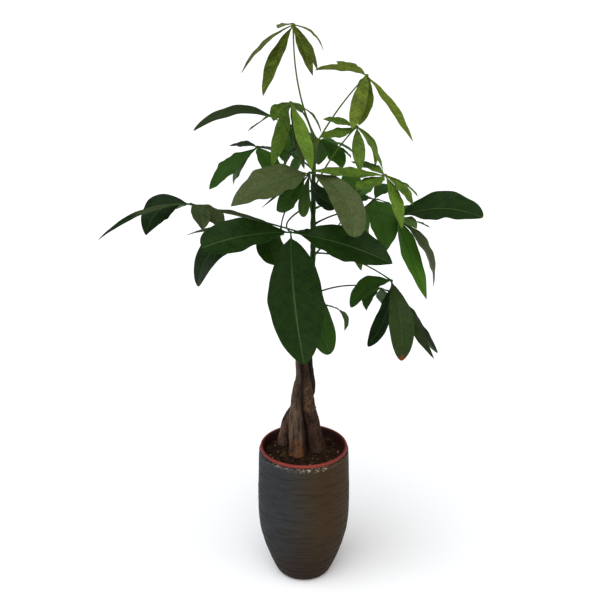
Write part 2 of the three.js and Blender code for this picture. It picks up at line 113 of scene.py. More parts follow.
# %% Light
# name: (strength, colour, disc in degrees, tilt from straight down, turn about the vertical)
SUNS = {
    "key": (3.0, (0.96, 0.98, 1.0), 75, 36, -35),
    "fill": (1.1, (1.0, 0.94, 0.86), 80, 50, 50),
}
SKY = (0.9, 0.93, 1.0, 1)
SKY_STRENGTH = 0.3

for name, (strength, colour, disc, tilt, turn) in SUNS.items():
    bpy.ops.object.light_add(type="SUN", rotation=(math.radians(tilt), 0, math.radians(turn)))
    sun = bpy.context.object
    sun.name = name
    sun.data.energy = strength
    sun.data.color = colour
    sun.data.angle = math.radians(disc)
world = bpy.data.worlds.new("studio_sky")
world.use_nodes = True
world.node_tree.nodes["Background"].inputs["Color"].default_value = SKY
world.node_tree.nodes["Background"].inputs["Strength"].default_value = SKY_STRENGTH
bpy.context.scene.world = world
bpy.context.scene.view_settings.view_transform = "Standard"
print("lights:", ", ".join(SUNS), "and sky")

# %% [markdown]
# ## Helpers for pieces
#
# Every piece ends in the same way: its place goes into its mesh, it takes one material, it rides
# on the plant's only body, and the frame's node that it stands for is hidden. Operators act on all
# that is selected, so `pick` clears the selection before it takes one object.


# %% Selecting and finishing
def pick(obj):
    bpy.ops.object.select_all(action="DESELECT")
    obj.select_set(True)
    bpy.context.view_layer.objects.active = obj


def settle(obj, name, slot, material, node=None, crease=50):
    pick(obj)
    bpy.ops.object.transform_apply(location=True, rotation=True, scale=True)
    bpy.ops.object.shade_smooth_by_angle(angle=math.radians(crease))
    obj.name = name
    obj.data.materials.clear()
    obj.data.materials.append(material)
    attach(obj, "root")
    if node:
        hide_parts(node)
    print(name, "has", len(obj.data.polygons), "faces")


def apply_modifiers(obj):
    pick(obj)
    for modifier in list(obj.modifiers):
        bpy.ops.object.modifier_apply(modifier=modifier.name)


# %% [markdown]
# A node graph is easier to read as nested calls. `add_node` makes one node, links the inputs that
# are sockets, sets the ones that are plain values, and gives back the node's outputs.


# %% Building materials
def new_material(name):
    material = bpy.data.materials.new(name)
    material.use_nodes = True
    return material, material.node_tree, material.node_tree.nodes["Principled BSDF"]


def add_node(tree, kind, inputs, **settings):
    made = tree.nodes.new("ShaderNode" + kind)
    for key, value in settings.items():
        setattr(made, key, value)
    for key, value in inputs.items():
        if isinstance(value, bpy.types.NodeSocket):
            tree.links.new(value, made.inputs[key])
        else:
            made.inputs[key].default_value = value
    return made.outputs


def sums(tree, operation, a, b=0.0):
    return add_node(tree, "Math", {0: a, 1: b}, operation=operation)[0]


def blend(tree, share, a, b):
    made = add_node(tree, "Mix", {0: share, 6: a, 7: b}, data_type="RGBA")
    return made[2]


def ramp(tree, value, low, high, to_low=0.0, to_high=1.0):
    inputs = {"Value": value, "From Min": low, "From Max": high, "To Min": to_low, "To Max": to_high}
    return add_node(tree, "MapRange", inputs, interpolation_type="SMOOTHSTEP")[0]


def place_of(tree, stretch=(1, 1, 1)):
    """Object coordinates, in metres times a stretch."""
    coordinates = add_node(tree, "TexCoord", {})["Object"]
    return add_node(tree, "Mapping", {"Vector": coordinates, "Scale": stretch})[0]


def clouds(tree, place, scale, detail=4.0, rough=0.5):
    inputs = {"Vector": place, "Scale": scale, "Detail": detail, "Roughness": rough}
    return add_node(tree, "TexNoise", inputs)["Fac"]


def raise_surface(tree, shader, height, distance, strength=1.0):
    inputs = {"Height": height, "Distance": distance, "Strength": strength}
    tree.links.new(add_node(tree, "Bump", inputs)[0], shader.inputs["Normal"])


def colour(red, green, blue):
    """A colour as it is seen on a screen, 0 to 255, in the shader's linear light."""
    linear = [((v / 255 + 0.055) / 1.055) ** 2.4 if v > 10 else v / 255 / 12.92 for v in (red, green, blue)]
    return (*linear, 1)


print("helpers ready")

# %% [markdown]
# ## Roughening by hand
#
# Bark, soil and chiselled clay all need the same last touch: each point of a finished mesh moves
# a little along its normal. `push_out` does that with any rule for the amount. Smooth noise from
# `mathutils` gives the same value at the same place on every run.


# %% Moving points along their normals
def push_out(obj, amount):
    """amount(point in millimetres) says how far each point moves out, in millimetres."""
    mesh = obj.data
    moved = []
    for vertex in mesh.vertices:
        point = vertex.co / MM
        moved.extend((point + vertex.normal * amount(point)) * MM)
    mesh.vertices.foreach_set("co", moved)
    mesh.update()


def grain(point, stretch, seed=0.0):
    """Smooth noise from -1 to 1, with one cell for each stretch of millimetres."""
    cell = Vector((point.x / stretch[0] + seed, point.y / stretch[1] - seed, point.z / stretch[2]))
    return noise.noise(cell)


def smooth_step(value, low, high):
    share = min(max((value - low) / (high - low), 0), 1)
    return share * share * (3 - 2 * share)


print("noise at the origin's neighbour:", round(grain(Vector((3, 4, 5)), (10, 10, 10)), 3))

# %% [markdown]
# ## Turned shapes
#
# Both pots are turned, as on a wheel. A circle at the foot is extruded and scaled ring by ring up
# the outside, over the lip and down the inside, and both ends are filled. The rings are close
# together where the surface will be carved later.


# %% Turning a profile
def turn_profile(profile, sides):
    """A closed shell through [radius, height] in millimetres, outside first."""
    bpy.ops.object.select_all(action="DESELECT")
    radius, height = profile[0]
    bpy.ops.mesh.primitive_circle_add(vertices=sides, radius=radius * MM, location=(0, 0, height * MM))
    shell = bpy.context.object
    bpy.ops.object.transform_apply(location=True)
    bpy.ops.object.mode_set(mode="EDIT")
    bpy.ops.mesh.select_all(action="SELECT")
    bpy.ops.mesh.edge_face_add()
    for new_radius, new_height in profile[1:]:
        rise = (0, 0, (new_height - height) * MM)
        bpy.ops.mesh.extrude_region_move(TRANSFORM_OT_translate={"value": rise})
        scale = new_radius / radius
        centre = (0, 0, new_height * MM)
        bpy.ops.transform.resize(value=(scale, scale, 1), center_override=centre)
        radius, height = new_radius, new_height
    bpy.ops.mesh.select_all(action="SELECT")
    bpy.ops.mesh.normals_make_consistent(inside=False)
    bpy.ops.object.mode_set(mode="OBJECT")
    return shell


def closer(profile, pitch):
    """The same profile with a ring at least every pitch millimetres."""
    rings = [profile[0]]
    for (r0, z0), (r1, z1) in zip(profile, profile[1:]):
        count = max(1, math.ceil(math.hypot(r1 - r0, z1 - z0) / pitch))
        rings += [(r0 + (r1 - r0) * k / count, z0 + (z1 - z0) * k / count) for k in range(1, count + 1)]
    return rings


# %% [markdown]
# ## The cover pot
#
# The cover pot is dark stoneware, drawn in at the foot and nearly straight above. The potter
# dragged a tool round it, so that irregular, broken lines run round the whole wall, with a few
# deeper ones between them. The outline is smoothed with a Catmull-Rom curve through its few
# points, and the lines are then carved by moving the points of the outer wall inwards.

# %% Cover pot shape
POT_OUTLINE = [
    (50, 0), (57.5, 6), (65, 20), (75, 45), (85, 75), (92.6, 105), (96, 130),
    (97.5, 155), (97.5, 205), (96.5, 235), (95.5, 270), (94.5, 292),
]
POT_HEIGHT = 298
POT_WALL = 6.5
POT_FLOOR = 14
POT_LIP = 3.2  # radius of the rounded lip
POT_SIDES = 224
POT_PITCH = 1.7  # millimetres between rings
FOOT = (2, 1.5)  # how far the foot's edge is rounded, inwards and upwards


def smooth_profile(points, steps):
    """A Catmull-Rom curve through [radius, height] points."""
    ends = [points[0], *points, points[-1]]
    curve = []
    for p0, p1, p2, p3 in zip(ends, ends[1:], ends[2:], ends[3:]):
        for k in range(steps):
            t = k / steps
            weights = (
                -t + 2 * t**2 - t**3,
                2 - 5 * t**2 + 3 * t**3,
                t + 4 * t**2 - 3 * t**3,
                t**3 - t**2,
            )
            pulls = list(zip(weights, (p0, p1, p2, p3)))
            curve.append(tuple(sum(w * p[i] for w, p in pulls) / 2 for i in (0, 1)))
    return [*curve, points[-1]]


def pot_profile():
    outside = smooth_profile(POT_OUTLINE, 4)
    outside[0] = (POT_OUTLINE[0][0], FOOT[1])
    lip_radius, lip_height = POT_OUTLINE[-1][0] - POT_LIP, POT_HEIGHT - POT_LIP
    turns = [math.radians(90 * k / 5) for k in range(6)]
    lip = [(lip_radius + POT_LIP * math.cos(a), lip_height + POT_LIP * math.sin(a)) for a in turns]
    mouth = POT_OUTLINE[-1][0] - POT_WALL
    inside = [(r - POT_WALL, z) for r, z in reversed(POT_OUTLINE) if z > POT_FLOOR]
    foot = [(2, 0), (POT_OUTLINE[0][0] - FOOT[0], 0)]
    wall = closer([*outside[:-1], *lip], POT_PITCH)
    edge = [(mouth + 0.8, POT_HEIGHT), (mouth, POT_HEIGHT - 1)]
    return [*foot, *wall, *edge, *inside, (2, POT_FLOOR)]


pot = turn_profile(pot_profile(), POT_SIDES)
print("pot rings:", len(pot.data.vertices) // POT_SIDES)

# %% [markdown]
# Each carved line has its own height and wobble, and fades out and comes back as it goes round.
# A line is a narrow dip: full depth in its middle and nothing a millimetre or two away.

# %% Cover pot carving
LINE_SPACING = 7
LINE_SEED = 11
MAIN_LINES = [34, 60, 90, 118, 168, 220, 252]
draw = random.Random(LINE_SEED)


def carved_lines():
    """(height, depth, half width, wobble, seed, share of the turn that it shows) of each line."""
    lines = [(z, 1.1, 2.4, 1.6, draw.uniform(0, 50), 0.95) for z in MAIN_LINES]
    height = 16
    while height < 282:
        depth = draw.uniform(0.35, 0.8)
        shown = draw.uniform(0.45, 0.85)
        half, wobble, seed = draw.uniform(1.3, 2.2), draw.uniform(1.2, 3), draw.uniform(0, 50)
        lines.append((height, depth, half, wobble, seed, shown))
        height += LINE_SPACING * draw.uniform(0.55, 1.3)
    return lines


LINES = carved_lines()


def carve(point):
    radius = math.hypot(point.x, point.y)
    if radius < POT_OUTLINE[0][0] or not 8 < point.z < 290:
        return 0
    if radius < POT_OUTLINE[-1][0] - POT_WALL / 2 and point.z > 150:
        return 0
    around = Vector((point.x / radius, point.y / radius, 0))
    dip = 0
    for z, depth, half, wobble, seed, shown in LINES:
        if abs(point.z - z) > half + wobble:
            continue
        line = z + wobble * noise.noise(around * 2.6 + Vector((seed, 0, 0)))
        away = abs(point.z - line) / half
        if away < 1:
            here = noise.noise(around * 3.7 + Vector((0, seed, 3))) * 0.5 + 0.5
            strength = smooth_step(here, 0.75 - shown * 0.6, 0.95 - shown * 0.6)
            dip = max(dip, depth * (1 - away**2) * strength)
    return 0.35 * grain(point, (22, 22, 6), 5) + 0.2 * grain(point, (6, 6, 3), 9) - dip


push_out(pot, carve)
print("carved lines:", len(LINES))

# %% [markdown]
# The clay is a dull grey-brown with a thin worn glaze. The glaze is a little glossier on the high
# spots, darker in the lines, and rubbed through to a pale speckle along the lip, which is partly a
# painted highlight where the lip's edge catches the light. Across the pot the colour goes from a cool
# grey on the left to a warm brown on the right: painted light, cool under the key and warm under the
# fill.


# %% Ceramic
def ceramic_paint():
    material, tree, shader = new_material("chiselled_stoneware")
    place = place_of(tree)
    streaks = clouds(tree, place_of(tree, (1, 1, 9)), 34, 7, 0.65)
    scratches = ramp(tree, clouds(tree, place_of(tree, (1, 1, 20)), 14, 2), 0.56, 0.64)
    patches = clouds(tree, place, 14, 3, 0.5)
    fine = clouds(tree, place, 320, 3, 0.6)
    apart = add_node(tree, "SeparateXYZ", {"Vector": place})
    # painted light: the colour turns from a cool grey on the left, under the key, to a warm brown on the
    # right, under the fill
    turned = sums(tree, "ADD", apart["X"], sums(tree, "MULTIPLY", patches, 0.05))
    painted_light_side = ramp(tree, turned, -0.035, 0.075)
    dark = blend(tree, painted_light_side, colour(33, 35, 37), colour(42, 31, 17))
    pale = blend(tree, painted_light_side, colour(51, 54, 55), colour(62, 48, 29))
    body = blend(tree, ramp(tree, streaks, 0.25, 0.8, 0.3, 0.9), dark, pale)
    body = blend(tree, sums(tree, "MULTIPLY", scratches, 0.45), body, colour(24, 21, 18))
    body = blend(tree, ramp(tree, fine, 0.55, 0.75, 0, 0.2), body, colour(80, 72, 58))
    body = blend(tree, ramp(tree, apart["Z"], 0.17, 0.0, 0, 0.75), body, colour(35, 20, 11))
    # the pale speckle along the lip is worn glaze and partly a painted highlight on the lip's edge
    at_lip = ramp(tree, apart["Z"], 0.2875, 0.296)
    specks = ramp(tree, clouds(tree, place, 210, 5, 0.75), 0.5, 0.6)
    worn_and_highlit_lip = sums(tree, "MULTIPLY", at_lip, specks)
    patchy = ramp(tree, clouds(tree, place, 16, 2), 0.4, 0.6, 0.1, 0.9)
    body = blend(tree, sums(tree, "MULTIPLY", worn_and_highlit_lip, patchy), body, colour(190, 182, 168))
    tree.links.new(body, shader.inputs["Base Color"])
    tree.links.new(ramp(tree, streaks, 0.3, 0.7, 0.66, 0.5), shader.inputs["Roughness"])
    shader.inputs["Specular IOR Level"].default_value = 0.06
    rough = sums(tree, "ADD", sums(tree, "MULTIPLY", streaks, 1.4), fine)
    rough = sums(tree, "SUBTRACT", rough, sums(tree, "MULTIPLY", scratches, 1.5))
    raise_surface(tree, shader, rough, 0.0005, 0.5)
    return material


settle(pot, "chiselled_cover_pot", "ceramic", ceramic_paint(), "cover_pot")

# %% [markdown]
# ## The nursery pot
#
# The plant was sold in this thin brick-red plastic pot. Its rim is rolled outwards for stiffness
# and shows as a bright ring above the cover pot, with a little of the inner wall behind it, which is
# darkened below the rim with painted shade.

# %% Nursery pot
NURSERY_SIDES = 160
RIM_UNDER = 298.3
RIM_TOP = 306
RIM_RADIUS = 92
NURSERY_TOP = 87
NURSERY_FOOT = (60, 62)  # radius and height of the base
NURSERY_WALL = 2

rim_turns = [math.radians(-60 + 210 * k / 10) for k in range(11)]
rim_middle = ((RIM_RADIUS + NURSERY_TOP) / 2 - 0.4, (RIM_UNDER + RIM_TOP) / 2)
rim_half = (RIM_RADIUS - rim_middle[0], RIM_TOP - rim_middle[1])
rim_roll = [
    (rim_middle[0] + rim_half[0] * math.cos(a), rim_middle[1] + rim_half[1] * math.sin(a))
    for a in rim_turns
]
nursery_profile = [
    (2, NURSERY_FOOT[1]),
    NURSERY_FOOT,
    (NURSERY_TOP - 0.5, RIM_UNDER + 0.2),
    *rim_roll,
    (NURSERY_TOP - NURSERY_WALL, RIM_TOP - 5),
    (NURSERY_FOOT[0] - NURSERY_WALL, NURSERY_FOOT[1] + NURSERY_WALL),
    (2, NURSERY_FOOT[1] + NURSERY_WALL),
]
nursery = turn_profile(closer(nursery_profile, 20), NURSERY_SIDES)


def plastic_paint():
    material, tree, shader = new_material("brick_red_plastic")
    place = place_of(tree)
    dust = clouds(tree, place, 38, 6, 0.65)
    body = blend(tree, ramp(tree, dust, 0.35, 0.7), colour(104, 36, 28), colour(128, 52, 42))
    height = add_node(tree, "SeparateXYZ", {"Vector": place})["Z"]
    from_axis = add_node(tree, "VectorMath", {0: place_of(tree, (1, 1, 0))}, operation="LENGTH")["Value"]
    # painted shade: the inner wall goes nearly black below the rim, where the pot's mouth lies in shadow
    inside = ramp(tree, from_axis, 0.0885, 0.087)
    painted_inner_shade = sums(tree, "MULTIPLY", inside, ramp(tree, height, 0.3062, 0.3035, 0, 0.95))
    body = blend(tree, painted_inner_shade, body, colour(30, 14, 11))
    tree.links.new(body, shader.inputs["Base Color"])
    tree.links.new(ramp(tree, dust, 0.3, 0.7, 0.45, 0.7), shader.inputs["Roughness"])
    shader.inputs["Specular IOR Level"].default_value = 0.2
    raise_surface(tree, shader, clouds(tree, place, 500, 2), 0.0002, 0.4)
    return material


settle(nursery, "rolled_rim_nursery_pot", "plastic", plastic_paint(), "nursery_pot")

# %% [markdown]
# ## Soil
#
# The pot is filled with dark compost. It starts as a short drum; its top is inset ring by ring
# and closed with a fan, so that the lumps have points to stand on. Chips of bark and a few pale
# grains of grit lie on it, and they are copies of a few small stones, turned and scaled at random.

# %% Soil block
SOIL_LEVEL = 286
SOIL_BOTTOM = 64.3
SOIL_RADIUS = (84.2, 57.2)  # at the top and at the bottom
SOIL_SIDES = 132
SOIL_RINGS = 26

soil_side = [(SOIL_RADIUS[1], SOIL_BOTTOM), (SOIL_RADIUS[0], SOIL_LEVEL)]
soil = turn_profile([(2, SOIL_BOTTOM), *soil_side], SOIL_SIDES)
pick(soil)
bpy.ops.object.mode_set(mode="EDIT")
bpy.ops.mesh.select_all(action="DESELECT")
bpy.ops.object.mode_set(mode="OBJECT")
for face in soil.data.polygons:
    face.select = face.normal.z > 0.9
bpy.ops.object.mode_set(mode="EDIT")
for _ in range(SOIL_RINGS):
    bpy.ops.mesh.inset(thickness=SOIL_RADIUS[0] / (SOIL_RINGS + 1) * MM)
bpy.ops.mesh.poke()
bpy.ops.object.mode_set(mode="OBJECT")


def soil_lumps(point):
    edge = SOIL_RADIUS[0] - math.hypot(point.x, point.y)
    if point.z < SOIL_LEVEL - 1:
        return 0
    clods = 2.4 * grain(point, (15, 15, 15)) + 1.8 * grain(point, (6, 6, 6), 4)
    lumps = clods + 1.0 * grain(point, (3, 3, 3), 8)
    return lumps * smooth_step(edge, 0, 4) + 1.2


def soil_paint():
    material, tree, shader = new_material("dark_compost")
    place = place_of(tree)
    lumps = clouds(tree, place, 90, 8, 0.7)
    fine = clouds(tree, place, 420, 4, 0.7)
    body = blend(tree, ramp(tree, lumps, 0.35, 0.65), colour(21, 12, 8), colour(52, 33, 22))
    body = blend(tree, ramp(tree, fine, 0.62, 0.75, 0, 0.4), body, colour(78, 56, 38))
    dry = ramp(tree, clouds(tree, place, 26, 3), 0.52, 0.7, 0, 0.7)
    body = blend(tree, sums(tree, "MULTIPLY", dry, ramp(tree, lumps, 0.4, 0.6)), body, colour(92, 70, 42))
    tree.links.new(body, shader.inputs["Base Color"])
    shader.inputs["Roughness"].default_value = 0.95
    shader.inputs["Specular IOR Level"].default_value = 0.05
    raise_surface(tree, shader, sums(tree, "ADD", lumps, sums(tree, "MULTIPLY", fine, 0.4)), 0.002)
    return material


push_out(soil, soil_lumps)
settle(soil, "compost", "soil", soil_paint(), "soil", crease=80)

# %% Bark chips and grit
CHIP_COUNT = 420
CHIP_SEED = 4
# colour of each kind of chip, and its share of all of them
CHIP_KINDS = [
    (colour(30, 19, 13), 0.5),
    (colour(50, 34, 23), 0.33),
    (colour(78, 57, 38), 0.12),
    (colour(112, 94, 66), 0.04),
    (colour(140, 132, 114), 0.01),
]
TRUNK_FEET = [(-10, -4, 19), (29, 16, 21), (-45, 38, 11)]  # x, y and radius at the soil


def chip_shapes():
    shapes = []
    for index in range(6):
        bpy.ops.object.select_all(action="DESELECT")
        bpy.ops.mesh.primitive_ico_sphere_add(subdivisions=1, radius=1)
        bpy.ops.object.mode_set(mode="EDIT")
        bpy.ops.transform.vertex_random(offset=0.38, seed=index)
        bpy.ops.transform.resize(value=(1, 0.55 + 0.06 * index, 0.3 + 0.05 * index))
        bpy.ops.object.mode_set(mode="OBJECT")
        shapes.append(bpy.context.object)
    return shapes


def scatter_chips(shapes):
    draw = random.Random(CHIP_SEED)
    placed = []
    while len(placed) < CHIP_COUNT:
        turn = draw.uniform(0, 2 * math.pi)
        reach = math.sqrt(draw.random()) * (SOIL_RADIUS[0] - 4)
        x, y = reach * math.cos(turn), reach * math.sin(turn)
        if any(math.hypot(x - fx, y - fy) < r for fx, fy, r in TRUNK_FEET):
            continue
        chip = draw.choice(shapes).copy()
        chip.data = chip.data.copy()
        bpy.context.collection.objects.link(chip)
        size = draw.uniform(1.2, 3.2) * (1.7 if draw.random() < 0.12 else 1)
        lift = soil_lumps(Vector((x, y, SOIL_LEVEL))) + size * 0.15
        chip.location = Vector((x, y, SOIL_LEVEL + lift)) * MM
        chip.rotation_euler = (draw.uniform(-0.5, 0.5), draw.uniform(-0.5, 0.5), draw.uniform(0, 6.3))
        chip.scale = [size * MM] * 3
        kind = draw.choices([k for k, _ in CHIP_KINDS], [s for _, s in CHIP_KINDS])[0]
        layer = chip.data.color_attributes.new("chip", "FLOAT_COLOR", "POINT")
        layer.data.foreach_set("color", kind * len(chip.data.vertices))
        placed.append(chip)
    return placed


def join(objects):
    bpy.ops.object.select_all(action="DESELECT")
    for obj in objects:
        obj.select_set(True)
    bpy.context.view_layer.objects.active = objects[0]
    bpy.ops.object.join()
    return bpy.context.object


def chip_paint():
    material, tree, shader = new_material("bark_chips")
    place = place_of(tree)
    tint = add_node(tree, "Attribute", {}, attribute_name="chip")["Color"]
    speckle = clouds(tree, place, 520, 4, 0.7)
    body = blend(tree, ramp(tree, speckle, 0.35, 0.7, 0.6, 0), tint, colour(24, 15, 10))
    tree.links.new(body, shader.inputs["Base Color"])
    shader.inputs["Roughness"].default_value = 0.9
    shader.inputs["Specular IOR Level"].default_value = 0.05
    raise_surface(tree, shader, speckle, 0.0006)
    return material


shapes = chip_shapes()
chips = join(scatter_chips(shapes))
for shape in shapes:
    bpy.data.objects.remove(shape)
settle(chips, "bark_chips_and_grit", "soil", chip_paint(), crease=25)

# %% [markdown]
# ## Trunks
#
# Money trees are braided while they are young. Here two thick trunks lean together and a thinner
# one crosses behind them, and they meet under the stem. Each trunk is a curve with a radius at
# each of its points, beveled round and made a mesh. Bark is then pushed out of it: slow bumps,
# long upright furrows, and small level scars where buds and old leaves sat.

# %% Trunk shapes
# name: stations of (x, y, z, radius) in millimetres, from the buried root to the top
TRUNKS = {
    "trunk_front": [
        (-12, -4, 226, 18),
        (-12, -4, 266, 18),
        (-12, -4, 294, 18),
        (-13.8, -6, 325, 17.3),
        (-15.8, -5, 360, 15.4),
        (-15.8, -1, 395, 12.5),
        (-12.5, 6, 430, 10.2),
        (-7.2, 8.5, 465, 8.6),
        (-8.5, 6, 498, 8),
        (-8.5, 6, 512, 8),
    ],
    "trunk_right": [
        (26.4, 14, 226, 17.6),
        (26.4, 14, 266, 17.6),
        (26.4, 14, 294, 17.6),
        (20.6, 12, 325, 17),
        (14.4, 9, 360, 16.4),
        (11, -5, 395, 13.4),
        (7.5, -12, 430, 11.2),
        (3.5, -11.5, 465, 9),
        (-0.5, -10.5, 498, 8),
        (-0.5, -10.5, 508, 8),
    ],
    "trunk_back": [
        (-44.5, 38, 226, 10),
        (-44.5, 38, 266, 10),
        (-44.5, 38, 294, 10),
        (-40.5, 37, 322, 9.6),
        (-31.5, 35, 352, 9.6),
        (-19, 33, 374, 9.6),
        (-2, 29, 394, 9.6),
        (11, 22, 414, 9.6),
        (14.5, 14, 436, 9.4),
        (12.5, 8, 462, 8.8),
        (9, 5, 490, 8),
        (8.5, 4.5, 508, 8),
        (8.5, 4.5, 520, 8),
    ],
}


def limb(stations, sides, steps):
    """A round closed tube through stations, in millimetres."""
    bpy.ops.object.select_all(action="DESELECT")
    bpy.ops.curve.primitive_bezier_curve_add()
    curve = bpy.context.object
    bpy.ops.object.transform_apply(location=True, rotation=True, scale=True)
    spline = curve.data.splines[0]
    spline.bezier_points.add(len(stations) - len(spline.bezier_points))
    for point, (x, y, z, radius) in zip(spline.bezier_points, stations):
        point.handle_left_type = point.handle_right_type = "AUTO"
        point.co = Vector((x, y, z)) * MM
        point.radius = radius
    curve.data.resolution_u = steps
    curve.data.bevel_depth = MM
    curve.data.bevel_resolution = sides // 2 - 2
    curve.data.use_fill_caps = True
    curve.data.twist_mode = "MINIMUM"
    bpy.ops.object.convert(target="MESH")
    tube = bpy.context.object
    bpy.ops.object.mode_set(mode="EDIT")
    bpy.ops.mesh.select_all(action="SELECT")
    bpy.ops.mesh.remove_doubles(threshold=1e-6)
    bpy.ops.mesh.normals_make_consistent(inside=False)
    bpy.ops.object.mode_set(mode="OBJECT")
    return tube


def bark_bumps(seed, furrow, scars):
    def amount(point):
        if point.z < SOIL_LEVEL - 8:
            return 0
        slow = 1.1 * grain(point, (16, 16, 34), seed)
        furrows = -furrow * abs(grain(point, (5, 5, 46), seed + 3))
        furrows += 0.35 * grain(point, (3, 3, 12), seed + 7)
        scar = sum(height * math.exp(-(((point.z - z) / 1.3) ** 2)) for z, height in scars)
        flare = 1.6 * smooth_step(point.z, SOIL_LEVEL + 26, SOIL_LEVEL)
        return slow + furrows + scar + flare + furrow * 0.4 + 0.5

    return amount


def bark_paint(name, dark, light, painted_shade_band, marks):
    """The painted shade where the trunks meet darkens the bark along x: it starts at the first value
    and is full at the second. A mark is a colour, its strength, and the heights where it starts, is
    full, is still full and ends, in millimetres."""
    material, tree, shader = new_material(name)
    place = place_of(tree)
    streaks = clouds(tree, place_of(tree, (1, 1, 0.13)), 150, 7, 0.65)
    patches = clouds(tree, place_of(tree, (1, 1, 0.4)), 34, 4, 0.6)
    pores = clouds(tree, place_of(tree, (1, 1, 1.8)), 260, 3, 0.6)
    body = blend(tree, ramp(tree, streaks, 0.36, 0.62), colour(*dark), colour(*light))
    body = blend(tree, ramp(tree, patches, 0.42, 0.66, 0, 0.55), body, colour(*dark))
    body = blend(tree, ramp(tree, pores, 0.6, 0.72, 0, 0.6), body, colour(124, 106, 88))
    apart = add_node(tree, "SeparateXYZ", {"Vector": place})
    height = apart["Z"]
    spots = ramp(tree, clouds(tree, place, 75, 6, 0.7), 0.42, 0.62)
    for mark, strength, bottom, full_from, full_to, top in marks:
        rises = ramp(tree, height, bottom * MM, full_from * MM, 0, strength)
        falls = ramp(tree, height, top * MM, full_to * MM)
        here = sums(tree, "MULTIPLY", sums(tree, "MULTIPLY", rises, falls), spots)
        body = blend(tree, here, body, colour(*mark))
    # painted shade: the bark goes dark along x on the side that lies against or behind another trunk
    painted_shade = ramp(tree, apart["X"], painted_shade_band[0] * MM, painted_shade_band[1] * MM, 0, 0.85)
    body = blend(tree, painted_shade, body, colour(18, 11, 9))
    tree.links.new(body, shader.inputs["Base Color"])
    shader.inputs["Roughness"].default_value = 0.88
    shader.inputs["Specular IOR Level"].default_value = 0.1
    bumps = sums(tree, "ADD", sums(tree, "MULTIPLY", streaks, 1.6), pores)
    raise_surface(tree, shader, bumps, 0.0016)
    return material


TRUNK_LOOKS = {
    "trunk_front": {
        "furrow": 0.9, "scars": [(352, 0.5), (402, -0.5), (447, 0.6)],
        "bark": ((40, 31, 24), (104, 83, 68)), "painted_shade_band": (-8, 4),
        "marks": [((124, 72, 38), 0.9, 284, 288, 300, 338), ((38, 30, 28), 0.6, 380, 420, 470, 500)],
    },
    "trunk_right": {
        "furrow": 0.7, "scars": [(338, 0.4), (391, -1.0), (394, 0.8), (440, 0.5)],
        # the right trunk's bark is darker than the others' partly as painted shade, for it stands in their
        # shadow
        "bark": ((32, 21, 16), (66, 46, 36)), "painted_shade_band": (6, -3),
        "marks": [((104, 80, 56), 0.7, 384, 396, 440, 475), ((82, 58, 40), 0.6, 284, 290, 305, 330)],
    },
    "trunk_back": {
        "furrow": 0.5, "scars": [(345, 0.4), (420, 0.5), (478, 0.5)],
        "bark": ((30, 22, 18), (92, 71, 58)), "painted_shade_band": (-34, -20),
        # the pale mark low on the back trunk is a painted highlight on its lit foot
        "marks": [((110, 84, 66), 0.8, 286, 296, 330, 352)],
    },
}
for index, (name, stations) in enumerate(TRUNKS.items()):
    look = TRUNK_LOOKS[name]
    trunk = limb(stations, 44, 14)
    push_out(trunk, bark_bumps(index * 13.7, look["furrow"], look["scars"]))
    paint = bark_paint(name + "_bark", *look["bark"], look["painted_shade_band"], look["marks"])
    settle(trunk, "barked_" + name, "bark", paint, name)

# %% [markdown]
# ## Stem
#
# Above the trunks one green stem carries all the leaves. It swells a little under each petiole
# and keeps a thin ring where an older leaf has fallen.

# %% Stem
# stations of (x, y, z, radius) in millimetres
STEM = [
    (8.5, 4.5, 520.3, 6),
    (8.5, 4.5, 536, 5.8),
    (13, 1, 600, 5.3),
    (16, 0, 660, 4.9),
    (17.5, 0, 745, 4.9),
    (17.5, 0, 830, 4.6),
    (18.5, 1, 900, 3.8),
    (21, 1, 940, 3.3),
    (23, 0, 964, 2.6),
]
